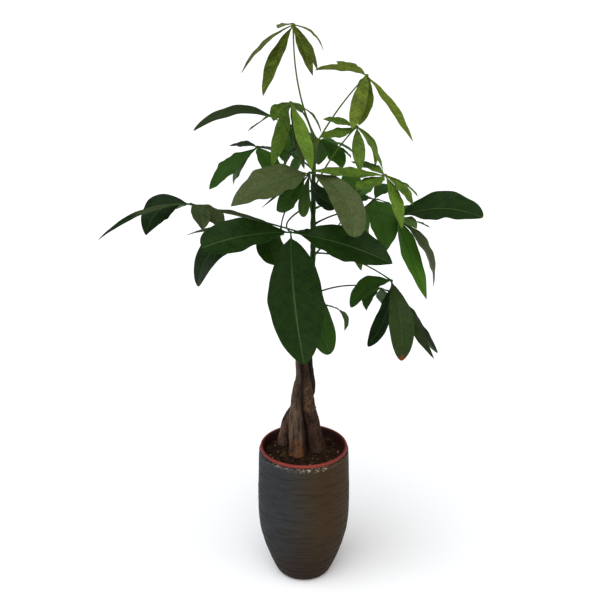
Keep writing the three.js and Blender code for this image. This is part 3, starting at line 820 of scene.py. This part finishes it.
# Where each petiole starts in the stem, the hub where its leaflets meet, and the petiole's rise
# and sway. A leaflet is its reach in x, y and z, its width, its arc's rise and sway, its roll in
# degrees and its outline.
LEAVES = {
    "leaf_01": {
        "slot": "leaf_young", "node": (23, 0, 960), "hub": (-20, -10, 1175), "rise": -18, "sway": 24,
        "leaflets": [
            (-95, -15, -85, 22, 12, 6, 8, "lance"),
            (-30, 95, -20, 26, 4, 0, 0, "lance"),
            (-55, -50, -120, 36, 0, -7, 0, "lance"),
            (35, -40, -85, 26, 10, -7, 0, "lance"),
            (45, 40, -90, 22, 8, 4, 0, "lance"),
            (55, 5, -48, 16, 11, -2, 10, "lance"),
        ],
    },
    "leaf_02": {
        "slot": "leaf_young", "node": (22.5, 0, 950), "hub": (117, 20, 1078), "rise": 6, "sway": 0,
        "leaflets": [
            (-97, -25, 14, 28, 8, -4, 15, "lance"),
            (-55, 60, 16, 28, 2, 2, 10, "lance"),
            (-29, -75, -85, 30, 2, 0, 0, "full"),
            (-14, -20, -90, 38, -10, 0, 0, "full"),
            (88, -25, -120, 32, 2, 6, 12, "lance"),
            (-5, 60, -55, 26, 4, 0, 0, "lance"),
        ],
    },
    "leaf_03": {
        "slot": "leaf_young", "node": (21.3, 1, 943), "hub": (-25, -60, 1043), "rise": 22, "sway": -8,
        "leaflets": [
            (-35, -5, -120, 32, -6, -32, 50, "lance"),
            (-30, -55, -22, 36, 7, 0, 0, "oval"),
            (-80, 30, -60, 24, 1, 20, 0, "lance"),
            (39, -65, -108, 30, 14, -6, 0, "oval"),
            (56, 18, -60, 22, 12, 0, 0, "lance"),
            (25, -15, -120, 30, 12, -20, 0, "lance"),
            (20, 100, -40, 26, 4, 0, 0, "lance"),
        ],
    },
    "leaf_04": {
        "slot": "leaf_young", "node": (18, 0.5, 862), "hub": (98, -20, 990), "rise": 6, "sway": 6,
        "leaflets": [
            (-63, -12, 16, 30, 2, -2, 15, "lance"),
            (-69, -55, -8, 36, -5, -2, 10, "lance"),
            (5, -50, -75, 25, 2, 0, 0, "lance"),
            (50, -15, -80, 26, 4, 4, 0, "lance"),
            (40, 60, -95, 15, 13, -8, 0, "lance"),
        ],
    },
    "leaf_05": {
        "slot": "leaf_mature", "node": (19.5, 1, 922), "hub": (-45, 45, 985), "rise": 6, "sway": 4,
        "leaflets": [
            (-165, -35, -10, 36, 31, 12, 16, "full"),
            (35, 85, -105, 46, 8, 0, 0, "oval"),
            (5, -50, -65, 34, 6, 0, 0, "oval"),
            (10, 105, -75, 34, 2, 0, 0, "oval"),
            (65, 115, -70, 40, 4, 0, 0, "oval"),
        ],
    },
    "leaf_06": {
        "slot": "leaf_mature", "node": (20, 1, 930), "hub": (27, 25, 954), "rise": 0, "sway": 2,
        "leaflets": [
            (45, -5, -55, 62, 0, 18, 20, "oval"),
            (95, 15, -60, 30, 14, 6, 0, "lance"),
            (65, 35, -45, 24, 6, -10, 0, "lance"),
            (-72, 10, -75, 56, 16, -10, 0, "oval"),
            (-50, 40, -85, 46, 6, 0, 0, "oval"),
            (2, 60, -65, 44, 8, 0, 0, "oval"),
        ],
    },
    "leaf_07": {
        "slot": "leaf_mature", "node": (18.5, 1, 900), "hub": (-90, 25, 940), "rise": 22, "sway": 28,
        "leaflets": [
            (-55, 20, -3, 28, 4, -2, 8, "lance"),
            (-92, -35, -74, 52, 11, 14, 12, "oval"),
            (-50, 35, -85, 40, 2, 14, 50, "lance"),
            (40, -45, -58, 46, 18, -12, 0, "oval"),
            (55, 95, -45, 44, 4, 0, 0, "oval"),
        ],
    },
    "leaf_08": {
        "slot": "leaf_mature", "node": (17.5, 0, 798), "hub": (10, -90, 920), "rise": 14, "sway": -6,
        "leaflets": [
            (-142, -60, -46, 86, 9, 0, 20, "broad"),
            (79, -110, -88, 54, 20, 14, 20, "spoon"),
            (-62, 30, -81, 46, -4, 10, 65, "oval"),
            (52, 45, -75, 40, -12, 9, 70, "paddle"),
            (-11, -35, -74, 22, -12, -7, 0, "paddle"),
            (-90, 30, -76, 12, 2, 3, 20, "lance"),
        ],
    },
    "leaf_09": {
        "slot": "leaf_young", "node": (17.5, 0, 823), "hub": (150, -70, 910), "rise": -2, "sway": 12,
        "leaflets": [
            (-135, -45, 20, 36, 0, 4, 15, "lance"),
            (-60, 80, 5, 32, 2, -2, 0, "lance"),
            (-55, -80, -5, 44, -2, 0, 0, "oval"),
            (30, -45, -90, 28, 8, 0, 0, "lance"),
            (50, -25, -50, 36, 4, 2, 0, "oval"),
            (65, 30, -50, 24, 6, -2, 0, "lance"),
        ],
    },
    "leaf_10": {
        "slot": "leaf_mature", "node": (17.5, 0, 768), "hub": (-215, -40, 845), "rise": -4, "sway": -26,
        "leaflets": [
            (-168, -68, -49, 20, 21, 4, 8, "lance"),
            (-86, -18, -56, 58, 23, -10, 42, "oval"),
            (26, -65, -30, 36, 8, 6, 0, "oval"),
            (60, -50, -35, 44, 6, 8, 0, "oval"),
            (-40, 100, -40, 30, 4, 0, 0, "oval"),
        ],
    },
    "leaf_11": {
        "slot": "leaf_mature", "node": (17.5, 0, 725), "hub": (140, 60, 825), "rise": -10, "sway": 24,
        "leaflets": [
            (20, -55, -92, 63, 22, 0, 0, "broad"),
            (40, 30, -30, 22, 6, 0, 0, "lance"),
            (-34, -5, -12, 36, 8, 0, 0, "oval"),
            (-25, -30, -140, 46, -14, -28, 0, "lance"),
            (30, 100, -80, 44, 4, 0, 0, "oval"),
            (40, 50, 15, 40, 6, 0, 0, "oval"),
        ],
    },
    "leaf_12": {
        "slot": "leaf_mature", "node": (17.5, 0, 835), "hub": (-25, -120, 815), "rise": -8, "sway": -27,
        "leaflets": [
            (-160, -45, -15, 80, 7, -6, 28, "spoon"),
            (25, -65, -237, 110, -18, 0, 0, "full"),
            (185, -45, -45, 84, 6, 6, 30, "oval"),
            (77, 20, -254, 68, -8, 10, 60, "paddle"),
            (90, 90, -45, 44, 4, 0, 0, "oval"),
        ],
    },
    "leaf_13": {
        "slot": "leaf_mature", "node": (17.5, 0, 791), "hub": (180, 0, 805), "rise": 22, "sway": -2,
        "leaflets": [
            (160, -45, 15, 86, 15, 14, 22, "full"),
            (80, 20, -150, 38, 20, -12, 35, "lance"),
            (59, -50, -150, 46, -22, 27, 10, "broad"),
            (75, 80, -45, 26, 4, 0, 0, "lance"),
            (34, -50, -6, 32, 6, 0, 0, "lance"),
            (50, 110, -10, 40, 4, 0, 0, "oval"),
        ],
    },
    "leaf_14": {
        "slot": "leaf_mature", "node": (17.5, 0, 749), "hub": (100, 110, 800), "rise": -22, "sway": 8,
        "leaflets": [
            (75, 70, -100, 48, 8, 0, 0, "oval"),
            (-10, 40, 60, 44, 10, 0, 0, "oval"),
            (40, 110, 10, 46, 8, 0, 0, "oval"),
            (-20, 120, -35, 44, 8, 0, 0, "oval"),
            (0, 90, -85, 50, 8, 0, 0, "oval"),
            (-18, -66, -95, 30, 10, 0, 0, "oval"),
        ],
    },
    "leaf_15": {
        "slot": "leaf_mature", "node": (18, 0, 861), "hub": (-45, -30, 790), "rise": 26, "sway": 8,
        "leaflets": [
            (-135, -10, 45, 30, 4, -6, 0, "lance"),
            (-163, -5, -114, 50, 57, 50, 55, "full"),
            (-188, 50, -27, 26, 20, 32, 0, "lance"),
            (-3, -45, -55, 62, 7, -16, 20, "oval"),
            (-35, 125, -75, 50, 4, 0, 0, "oval"),
        ],
    },
    "leaf_16": {
        "slot": "leaf_mature", "node": (17.5, 0, 733), "hub": (170, -40, 690), "rise": 30, "sway": -38,
        "leaflets": [
            (-80, -35, -42, 44, 24, 9, 15, "full"),
            (18, -80, -135, 50, 34, -2, 0, "blunt"),
            (88, -20, -158, 30, -8, 12, 30, "lance"),
            (103, 40, -172, 38, -6, -4, 35, "blunt"),
            (50, 30, -140, 36, -4, 0, 30, "oval"),
            (-42, 10, -145, 38, -12, -6, 55, "blunt"),
        ],
    },
    "leaf_17": {
        "slot": "leaf_mature", "node": (15, 0, 644), "hub": (155, 20, 650), "rise": 8, "sway": 14,
        "leaflets": [
            (-30, -30, -35, 32, 18, -2, 0, "lance"),
            (45, 100, -115, 40, 4, 0, 0, "oval"),
            (22, 110, -85, 34, 2, 0, 0, "oval"),
            (50, 70, -55, 34, 4, 0, 0, "oval"),
        ],
    },
    "leaf_18": {
        "slot": "leaf_mature", "node": (11, 2, 569), "hub": (25, -40, 640), "rise": -2, "sway": 0,
        "leaflets": [
            (57, 40, -73, 24, 21, -15, 0, "lance"),
            (0, -20, -80, 44, 16, 0, 0, "oval"),
            (-65, -10, -70, 44, 14, 0, 0, "oval"),
            (-50, 10, -35, 36, 6, 0, 0, "oval"),
        ],
    },
}
leaf_heights = sorted(leaf["node"][2] for leaf in LEAVES.values())
fallen_heights = [548, 583, 604, 628, 664, 684, 702, 716]


def stem_bumps(point):
    swelling = sum(0.9 * math.exp(-(((point.z - z + 2) / 4.5) ** 2)) for z in leaf_heights)
    ring = sum(0.55 * math.exp(-(((point.z - z) / 1.6) ** 2)) for z in fallen_heights)
    return min(swelling, 1.1) + ring + 0.15 * grain(point, (3, 3, 20))


def stem_paint():
    material, tree, shader = new_material("green_stem_skin")
    place = place_of(tree)
    streaks = clouds(tree, place_of(tree, (1, 1, 0.12)), 420, 5, 0.6)
    body = blend(tree, ramp(tree, streaks, 0.35, 0.65), colour(15, 30, 9), colour(38, 60, 22))
    height = add_node(tree, "SeparateXYZ", {"Vector": place})["Z"]
    cork = ramp(tree, clouds(tree, place, 80, 4), 0.35, 0.6)
    corky = sums(tree, "MULTIPLY", ramp(tree, height, 0.62, 0.52), cork)
    body = blend(tree, corky, body, colour(58, 48, 36))
    body = blend(tree, ramp(tree, height, 0.86, 0.96, 0, 0.7), body, colour(76, 100, 40))
    tree.links.new(body, shader.inputs["Base Color"])
    shader.inputs["Roughness"].default_value = 0.5
    shader.inputs["Specular IOR Level"].default_value = 0.12
    raise_surface(tree, shader, streaks, 0.0005)
    return material


stem = limb(STEM, 20, 20)
push_out(stem, stem_bumps)
settle(stem, "ringed_green_stem", "green_stem", stem_paint(), "stem")

# %% [markdown]
# ## One leaflet, flat
#
# A money tree's leaf is a hand of five to nine leaflets on one long stalk. Every leaflet has a
# pale midrib, a dozen or so side veins on each half, and skin that swells between them. It is
# modelled once for each number of veins, flat: a grid whose length runs from 0 to 1 and whose
# halves run from -1 to 1. Four rows go to each vein, so that a crease can follow it. The veins of
# the two halves start half a step apart, as they do on the plant.

# %% Flat leaflets
ROWS_PER_VEIN = 4
COLUMNS = 10
CREASE = 0.28  # millimetres that a vein lies below the skin between two veins
MIDRIB_CREASE = 0.8


def flat_leaflet(veins):
    bpy.ops.object.select_all(action="DESELECT")
    rows = ROWS_PER_VEIN * veins
    bpy.ops.mesh.primitive_grid_add(x_subdivisions=rows, y_subdivisions=COLUMNS, size=2)
    sheet = bpy.context.object
    bpy.ops.object.mode_set(mode="EDIT")
    bpy.ops.mesh.select_all(action="SELECT")
    bpy.ops.transform.resize(value=(0.5, 1, 1), center_override=(-1, 0, 0))
    bpy.ops.transform.translate(value=(1, 0, 0))
    bpy.ops.object.mode_set(mode="OBJECT")
    for vertex in sheet.data.vertices:
        share, across = vertex.co.x, vertex.co.y
        step = share * veins + (0.5 if across < 0 else 0)
        swell = abs(math.sin(math.pi * step)) ** 0.7
        inner = min(abs(across) * 4, 1) * min((1 - abs(across)) * 3, 1)
        ends = smooth_step(share, 0.02, 0.15) * smooth_step(1 - share, 0, 0.12)
        rib = MIDRIB_CREASE * (1 - min(abs(across) * 4, 1))
        vertex.co.z = (CREASE * swell * inner - rib) * ends
    for loop in sheet.data.uv_layers.active.data:
        loop.uv.x *= veins
    sheet.name = f"flat_leaflet_{veins}"
    return sheet


VEIN_COUNTS = range(7, 17)
flat_leaflets = {veins: flat_leaflet(veins) for veins in VEIN_COUNTS}
print("flat leaflets with", min(VEIN_COUNTS), "to", max(VEIN_COUNTS), "veins")

# %% [markdown]
# Petioles, the short stalks of the leaflets and the ribs under them are all thin tapering rods.
# One straight rod, a unit long and a unit in radius, is modelled once and copied for them.

# %% A straight rod
ROD_RINGS = 18
ROD_SIDES = 8


def straight_rod():
    bpy.ops.object.select_all(action="DESELECT")
    bpy.ops.mesh.primitive_circle_add(vertices=ROD_SIDES, radius=1, fill_type="NGON")
    rod = bpy.context.object
    bpy.ops.object.mode_set(mode="EDIT")
    for _ in range(ROD_RINGS):
        bpy.ops.mesh.extrude_region_move(TRANSFORM_OT_translate={"value": (0, 0, 1 / ROD_RINGS)})
    bpy.ops.mesh.select_all(action="SELECT")
    bpy.ops.mesh.normals_make_consistent(inside=False)
    bpy.ops.object.mode_set(mode="OBJECT")
    return rod


rod = straight_rod()
print("rod rings:", ROD_RINGS)

# %% [markdown]
# ## Bending them into place
#
# Petioles and leaflets follow the same kind of arc as in the solids: from its start over a middle
# point that is raised and swayed to one side. `Arc` gives the point and the three directions at
# any share of the way. A leaflet is narrow at its stalk, swells by its outline, and rolls a little
# about its midrib once it has left the stalk.

# %% Arcs and outlines
# An outline's half width is half the width times sin(pi * share ** lean) ** fullness.
OUTLINES = {
    "lance": (1, 0.85), "oval": (1.12, 0.8), "blunt": (1.3, 0.62), "broad": (0.78, 0.85),
    "full": (1, 0.6), "paddle": (2, 0.5), "spoon": (1.6, 0.4),
}
STALK_SHARE = 0.05  # of a leaflet's length
STALK_HALF = 1.3
TIP_HALF = 0.35
FOLD = 0.18
FOLDED_WIDTH = 32  # a wider leaflet folds up along its midrib
NARROW_FOLD = 0.08
ROLL_SHARE = 0.3


class Arc:
    def __init__(self, start, end, rise, sway):
        reach = end - start
        self.left = Vector((-reach.y, reach.x, 0)).normalized()
        self.above = reach.cross(self.left).normalized()
        self.start, self.end = start, end
        self.middle = start + reach / 2 + self.above * 2 * rise + self.left * 2 * sway
        self.length = reach.length

    def at(self, share):
        """The point, and the level and upward directions across the arc."""
        rest = 1 - share
        point = self.start * rest**2 + self.middle * (2 * rest * share) + self.end * share**2
        along = ((self.middle - self.start) * rest + (self.end - self.middle) * share).normalized()
        level = (self.left - along * self.left.dot(along)).normalized()
        face = along.cross(level)
        if face.dot(self.above) < 0:
            face = -face
        return point, level, face


def half_width(share, width, outline):
    if share <= STALK_SHARE:
        return STALK_HALF
    lean, fullness = OUTLINES[outline]
    along = (share - STALK_SHARE) / (1 - STALK_SHARE)
    swell = max(math.sin(math.pi * along**lean), 0) ** fullness
    return max(width / 2 * swell, STALK_HALF if along < 0.5 else TIP_HALF)


# %% [markdown]
# A leaflet's copy is bent point by point. Side veins run forward as they go out, so the outer
# points of a row slide towards the tip, as far as a real vein would. The edge gets slow waves.

# %% Bending a leaflet and a rod
VEIN_SLANT = 0.8  # forward slide of the edge, as a share of the half width
WAVE_HEIGHT = 0.035  # of the width


def bend_leaflet(hub, spec, tone, dust_and_sheen, draw):
    x, y, z, width, rise, sway, roll, outline = spec
    arc = Arc(hub, hub + Vector((x, y, z)), rise, sway)
    sheet = flat_leaflets[veins_of(arc)].copy()
    sheet.data = sheet.data.copy()
    bpy.context.collection.objects.link(sheet)
    slide = VEIN_SLANT * width / 2 / arc.length
    turn_full = math.radians(roll) * (1 if x > 0 else -1)
    fold = FOLD if width >= FOLDED_WIDTH else NARROW_FOLD
    phases = [draw.uniform(0, 2 * math.pi) for _ in range(4)]
    waves = draw.uniform(2.0, 3.2)
    relief = min(width / 40, 1.25)
    moved = []
    for vertex in sheet.data.vertices:
        row, across, skin = vertex.co
        share = row + slide * abs(across) ** 1.3 * math.sin(math.pi * row)
        point, level, face = arc.at(share)
        turn = turn_full * smooth_step(share, 0, ROLL_SHARE)
        side = level * math.cos(turn) + face * math.sin(turn)
        up = face * math.cos(turn) - level * math.sin(turn)
        half = half_width(share, width, outline)
        side_phase = phases[0] if across > 0 else phases[1]
        wave = math.sin(2 * math.pi * waves * share + side_phase) * across**2
        wave += 0.5 * math.sin(4 * math.pi * waves * share + phases[2]) * abs(across) ** 3
        wave *= WAVE_HEIGHT * width * math.sin(math.pi * share)
        lift = fold * half * abs(across) ** 1.2 + relief * skin + wave
        moved.extend((point + side * (half * across) + up * lift) * MM)
    sheet.data.vertices.foreach_set("co", moved)
    paint_points(sheet, (tone, 0, 0, dust_and_sheen))
    return sheet, arc


def veins_of(arc):
    return min(max(round(6 + arc.length / 22), min(VEIN_COUNTS)), max(VEIN_COUNTS))


def burn_tip(sheet, veins, start, full):
    """A brown, dried tip: the burnt attribute rises from start to full along the length."""
    layer = sheet.data.attributes.new("burnt", "FLOAT", "POINT")
    for vertex in flat_leaflets[veins].data.vertices:
        layer.data[vertex.index].value = smooth_step(vertex.co.x, start, full)


def paint_tip_shade(sheet, veins, start, gone):
    """Painted shade on a tip: its dust and sheen thin from start along the length, and there is none past
    gone, so the tip stays dark.
    """
    layer = sheet.data.color_attributes["leaf"]
    for vertex in flat_leaflets[veins].data.vertices:
        tone, stalk, below, dust_and_sheen = layer.data[vertex.index].color
        dust_and_sheen *= 1 - smooth_step(vertex.co.x, start, gone)
        layer.data[vertex.index].color = (tone, stalk, below, dust_and_sheen)


def paint_points(obj, values):
    """The leaf attribute: tone, how much of a stalk a point is, whether it is below, and dust with painted
    sheen.
    """
    layer = obj.data.color_attributes.new("leaf", "FLOAT_COLOR", "POINT")
    layer.data.foreach_set("color", list(values) * len(obj.data.vertices))


def bend_rod(arc, radius_at, tone, last=1.0, sink=0.0):
    """A copy of the rod along an arc up to one share of it, sunk a little below it."""
    copy = rod.copy()
    copy.data = copy.data.copy()
    bpy.context.collection.objects.link(copy)
    moved = []
    for vertex in copy.data.vertices:
        share = vertex.co.z
        point, level, face = arc.at(share * last)
        radius = radius_at(share)
        across = level * vertex.co.x + face * vertex.co.y
        moved.extend((point - face * sink + across * radius) * MM)
    copy.data.vertices.foreach_set("co", moved)
    paint_points(copy, (tone, 1, 0, 0))
    return copy


# %% [markdown]
# ## The leaves' skin
#
# One recipe paints three ages of leaf, with other greens. It reads the leaflet's own map, where
# each side vein is a whole number along the length, so that the pale lines fall in the creases.
# The tone of each leaflet, its stalk and its underside come from the points' own attribute.


# %% Leaf paint
def leaf_paint(name, deep, bright, vein_colour, below_colour, stalk_colour, dust_and_sheen_colour, pattern):
    """Pattern: how far mottling moves the tone, the veins' share, and the swells' share."""
    mottling, vein_share, swell_share = pattern
    material, tree, shader = new_material(name)
    place = place_of(tree)
    tint = add_node(tree, "Attribute", {}, attribute_name="leaf")["Color"]
    parts = add_node(tree, "SeparateColor", {0: tint})
    tone, stalk, below = parts[0], parts[1], parts[2]
    dust_and_sheen = add_node(tree, "Attribute", {}, attribute_name="leaf")["Alpha"]
    uv = add_node(tree, "TexCoord", {})["UV"]
    flat = add_node(tree, "SeparateXYZ", {"Vector": uv})
    across = sums(tree, "ABSOLUTE", sums(tree, "MULTIPLY", sums(tree, "SUBTRACT", flat["Y"], 0.5), 2.0))
    other_half = sums(tree, "MULTIPLY", sums(tree, "LESS_THAN", flat["Y"], 0.5), 0.5)
    step = sums(tree, "ADD", flat["X"], other_half)
    from_vein = sums(tree, "PINGPONG", step, 0.5)
    veins = ramp(tree, from_vein, 0.10, 0.02)
    midrib = ramp(tree, across, 0.04, 0.012)
    leafy = sums(tree, "SUBTRACT", 1.0, stalk)
    mottle = clouds(tree, place, 70, 5, 0.6)
    fine = clouds(tree, place, 600, 3, 0.6)
    tone = sums(tree, "ADD", tone, ramp(tree, mottle, 0.3, 0.7, -mottling, mottling))
    body = blend(tree, tone, deep, bright)
    # dust and painted sheen: a patchy grey-green over the leaflets listed for it, partly real dust and
    # partly the sky's reflection
    dust = ramp(tree, clouds(tree, place, 160, 6, 0.7), 0.3, 0.7, 0.7, 1.3)
    dusty_sheen = sums(tree, "MULTIPLY", dust_and_sheen, dust)
    body = blend(tree, dusty_sheen, body, dust_and_sheen_colour)
    swell = sums(tree, "MULTIPLY", ramp(tree, from_vein, 0.0, 0.5), leafy)
    body = blend(tree, sums(tree, "MULTIPLY", swell, swell_share), body, bright)
    vein_lines = sums(tree, "MULTIPLY", sums(tree, "MULTIPLY", veins, leafy), vein_share)
    body = blend(tree, vein_lines, body, vein_colour)
    body = blend(tree, sums(tree, "MULTIPLY", below, 0.55), body, below_colour)
    # painted shade: the pale midrib dims on the deepest tones, as on leaflets that lie in shadow
    plain = sums(tree, "MULTIPLY", leafy, ramp(tree, parts[0], 0.0, 0.08, 0.2, 0.55))
    body = blend(tree, sums(tree, "MULTIPLY", midrib, plain), body, vein_colour)
    body = blend(tree, sums(tree, "MULTIPLY", stalk, 0.8), body, stalk_colour)
    burnt = add_node(tree, "Attribute", {}, attribute_name="burnt")["Fac"]
    dried = sums(tree, "MULTIPLY", burnt, ramp(tree, fine, 0.3, 0.5, 0.6, 1))
    body = blend(tree, dried, body, colour(98, 52, 24))
    tree.links.new(body, shader.inputs["Base Color"])
    rough = sums(tree, "ADD", ramp(tree, mottle, 0.3, 0.7, 0.36, 0.5), sums(tree, "MULTIPLY", below, 0.2))
    tree.links.new(rough, shader.inputs["Roughness"])
    shader.inputs["Specular IOR Level"].default_value = 0.06
    creases = sums(tree, "MULTIPLY", sums(tree, "MAXIMUM", veins, midrib), -1.0)
    bumps = sums(tree, "ADD", sums(tree, "MULTIPLY", creases, leafy), sums(tree, "MULTIPLY", fine, 0.35))
    raise_surface(tree, shader, bumps, 0.0003, 0.4)
    return material


LEAF_PAINTS = {
    "leaf_mature": leaf_paint(
        "mature_leaf", colour(4, 18, 3), colour(68, 110, 32), colour(92, 116, 72), colour(60, 92, 40),
        colour(48, 74, 28), colour(92, 98, 62), (0.035, 0.07, 0.06),
    ),
    "leaf_young": leaf_paint(
        "young_leaf", colour(24, 46, 2), colour(108, 140, 46), colour(140, 162, 84), colour(92, 120, 44),
        colour(78, 100, 34), colour(110, 116, 86), (0.14, 0.26, 0.1),
    ),
    "leaf_newest": leaf_paint(
        "newest_leaf", colour(32, 42, 1), colour(114, 136, 40), colour(146, 160, 84), colour(98, 116, 38),
        colour(82, 98, 30), colour(116, 118, 88), (0.16, 0.3, 0.12),
    ),
}
print("leaf paints:", ", ".join(LEAF_PAINTS))

# %% [markdown]
# ## Building the leaves
#
# For each leaf the leaflets are bent and joined, and Solidify gives them their thin body. Then the
# petiole, the knob at its end and a rib under each leaflet are added. The petiole is swollen at
# both ends, where a real one has the joints that turn the leaf towards the light.

# %% Leaves
LEAF_SEED = 7
BLADE_THICKNESS = 0.7
PETIOLE_RADIUS = (2.2, 1.6)  # at the stem and at the hub
HUB_RADIUS = 3.6
RIB_RADIUS = 1.15
RIB_END = 0.94  # the share of a leaflet that its rib reaches
NEWEST = ("leaf_01", "leaf_02")
BURNT_TIPS = {("leaf_16", 1): (0.92, 0.96), ("leaf_13", 0): (0.97, 1.0)}
# tips left dark as painted shade: their dust and sheen fade out from start to gone
PAINTED_SHADE_TIPS = {("leaf_10", 0): (0.5, 0.62)}
# how deep or bright a leaflet is, from the deepest green of its age to the brightest; this is partly
# its own green and partly painted light and shade, deep where a leaflet lies in shadow and bright
# where it faces the light
TONE_WORDS = {"deep": 0.02, "dark": 0.08, "middle": 0.27, "fresh": 0.45, "bright": 0.75}
TONES = {
    "leaf_01": "dark middle dark dark dark middle",
    "leaf_02": "middle middle middle fresh fresh middle",
    "leaf_03": "middle dark dark fresh middle deep bright",
    "leaf_04": "middle middle middle fresh bright",
    "leaf_05": "deep fresh fresh fresh fresh",
    "leaf_06": "bright bright bright dark bright fresh",
    "leaf_07": "deep middle fresh fresh middle",
    "leaf_08": "dark dark fresh deep middle dark",
    "leaf_09": "middle middle middle fresh middle fresh",
    "leaf_10": "deep deep deep deep middle",
    "leaf_11": "fresh fresh middle bright dark middle",
    "leaf_12": "dark dark dark middle deep",
    "leaf_13": "dark dark bright dark bright middle",
    "leaf_14": "middle fresh bright fresh fresh middle",
    "leaf_15": "deep deep deep middle middle",
    "leaf_16": "middle dark deep deep deep deep",
    "leaf_17": "middle deep deep middle",
    "leaf_18": "deep dark middle middle",
}
# leaflets with dust and a painted grey sheen, which stands for the sky's reflection where they face
# the light: (leaf, place in it) and how grey
DUST_AND_SHEEN_WORDS = {"faint": 0.12, "dusty_sheen": 0.25, "grey": 0.42}
DUST_AND_SHEEN_LEAFLETS = {
    ("leaf_01", 0): "faint", ("leaf_01", 1): "dusty_sheen",
    ("leaf_05", 0): "faint", ("leaf_07", 0): "faint",
    ("leaf_08", 0): "grey", ("leaf_08", 1): "grey", ("leaf_08", 4): "faint", ("leaf_08", 5): "dusty_sheen",
    ("leaf_10", 0): "dusty_sheen", ("leaf_10", 2): "dusty_sheen", ("leaf_10", 3): "dusty_sheen",
    ("leaf_11", 3): "dusty_sheen",
    ("leaf_13", 1): "grey", ("leaf_13", 4): "grey",
    ("leaf_15", 0): "dusty_sheen", ("leaf_15", 2): "dusty_sheen",
    ("leaf_16", 1): "faint", ("leaf_16", 2): "faint", ("leaf_16", 4): "faint",
    ("leaf_18", 0): "dusty_sheen",
}


def petiole_radius(share):
    straight = PETIOLE_RADIUS[0] + (PETIOLE_RADIUS[1] - PETIOLE_RADIUS[0]) * share
    swelling = 0.6 * math.exp(-((share / 0.05) ** 2)) + 0.7 * math.exp(-(((1 - share) / 0.05) ** 2))
    return straight * (0.85 + swelling)


def rib_radius(share):
    return RIB_RADIUS * (1 - 0.75 * share)


def hub_knob(hub, tone):
    bpy.ops.object.select_all(action="DESELECT")
    bpy.ops.mesh.primitive_uv_sphere_add(
        segments=12, ring_count=8, radius=HUB_RADIUS * MM, location=hub * MM
    )
    bpy.ops.object.mode_set(mode="EDIT")
    bpy.ops.transform.resize(value=(1, 1, 0.75), center_override=hub * MM)
    bpy.ops.object.mode_set(mode="OBJECT")
    bpy.ops.object.transform_apply(location=True)
    paint_points(bpy.context.object, (tone, 1, 0, 0))
    return bpy.context.object


def thicken(sheets):
    blade = join(sheets)
    upper = len(blade.data.vertices)
    solid = blade.modifiers.new("body", "SOLIDIFY")
    solid.thickness = BLADE_THICKNESS * MM
    solid.offset = 0
    apply_modifiers(blade)
    layer = blade.data.color_attributes["leaf"]
    for index in range(upper, len(blade.data.vertices)):
        layer.data[index].color[2] = 1
    return blade


def build_leaf(name, leaf, tones, draw):
    hub = Vector(leaf["hub"])
    sheets, rods = [], []
    for index, (spec, tone) in enumerate(zip(leaf["leaflets"], tones)):
        dust_and_sheen = DUST_AND_SHEEN_WORDS.get(DUST_AND_SHEEN_LEAFLETS.get((name, index)), 0)
        sheet, arc = bend_leaflet(hub, spec, tone, dust_and_sheen, draw)
        if (name, index) in BURNT_TIPS:
            burn_tip(sheet, veins_of(arc), *BURNT_TIPS[name, index])
        if (name, index) in PAINTED_SHADE_TIPS:
            paint_tip_shade(sheet, veins_of(arc), *PAINTED_SHADE_TIPS[name, index])
        sheets.append(sheet)
        rods.append(bend_rod(arc, rib_radius, tone, RIB_END, 0.55))
    petiole = Arc(Vector(leaf["node"]), hub, leaf["rise"], leaf["sway"])
    rods.append(bend_rod(petiole, petiole_radius, tones[0]))
    rods.append(hub_knob(hub, tones[0]))
    whole = join([thicken(sheets), *rods])
    age = "leaf_newest" if name in NEWEST else leaf["slot"]
    settle(whole, "money_" + name, leaf["slot"], LEAF_PAINTS[age], name, crease=60)


draw = random.Random(LEAF_SEED)
for name, leaf in LEAVES.items():
    build_leaf(name, leaf, [TONE_WORDS[word] for word in TONES[name].split()], draw)
for pattern in (*flat_leaflets.values(), rod):
    bpy.data.objects.remove(pattern)

# %% [markdown]
# ## Size
#
# The frame's box and the dressed plant's box are both printed. The dressed plant has to stay
# in the frame's box.

# %% Size and finish
visual_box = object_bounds()
for name, box in (("frame", cad_box), ("dressed", visual_box)):
    print(name, [round(v, 3) for v in box[0]], [round(v, 3) for v in box[1]])
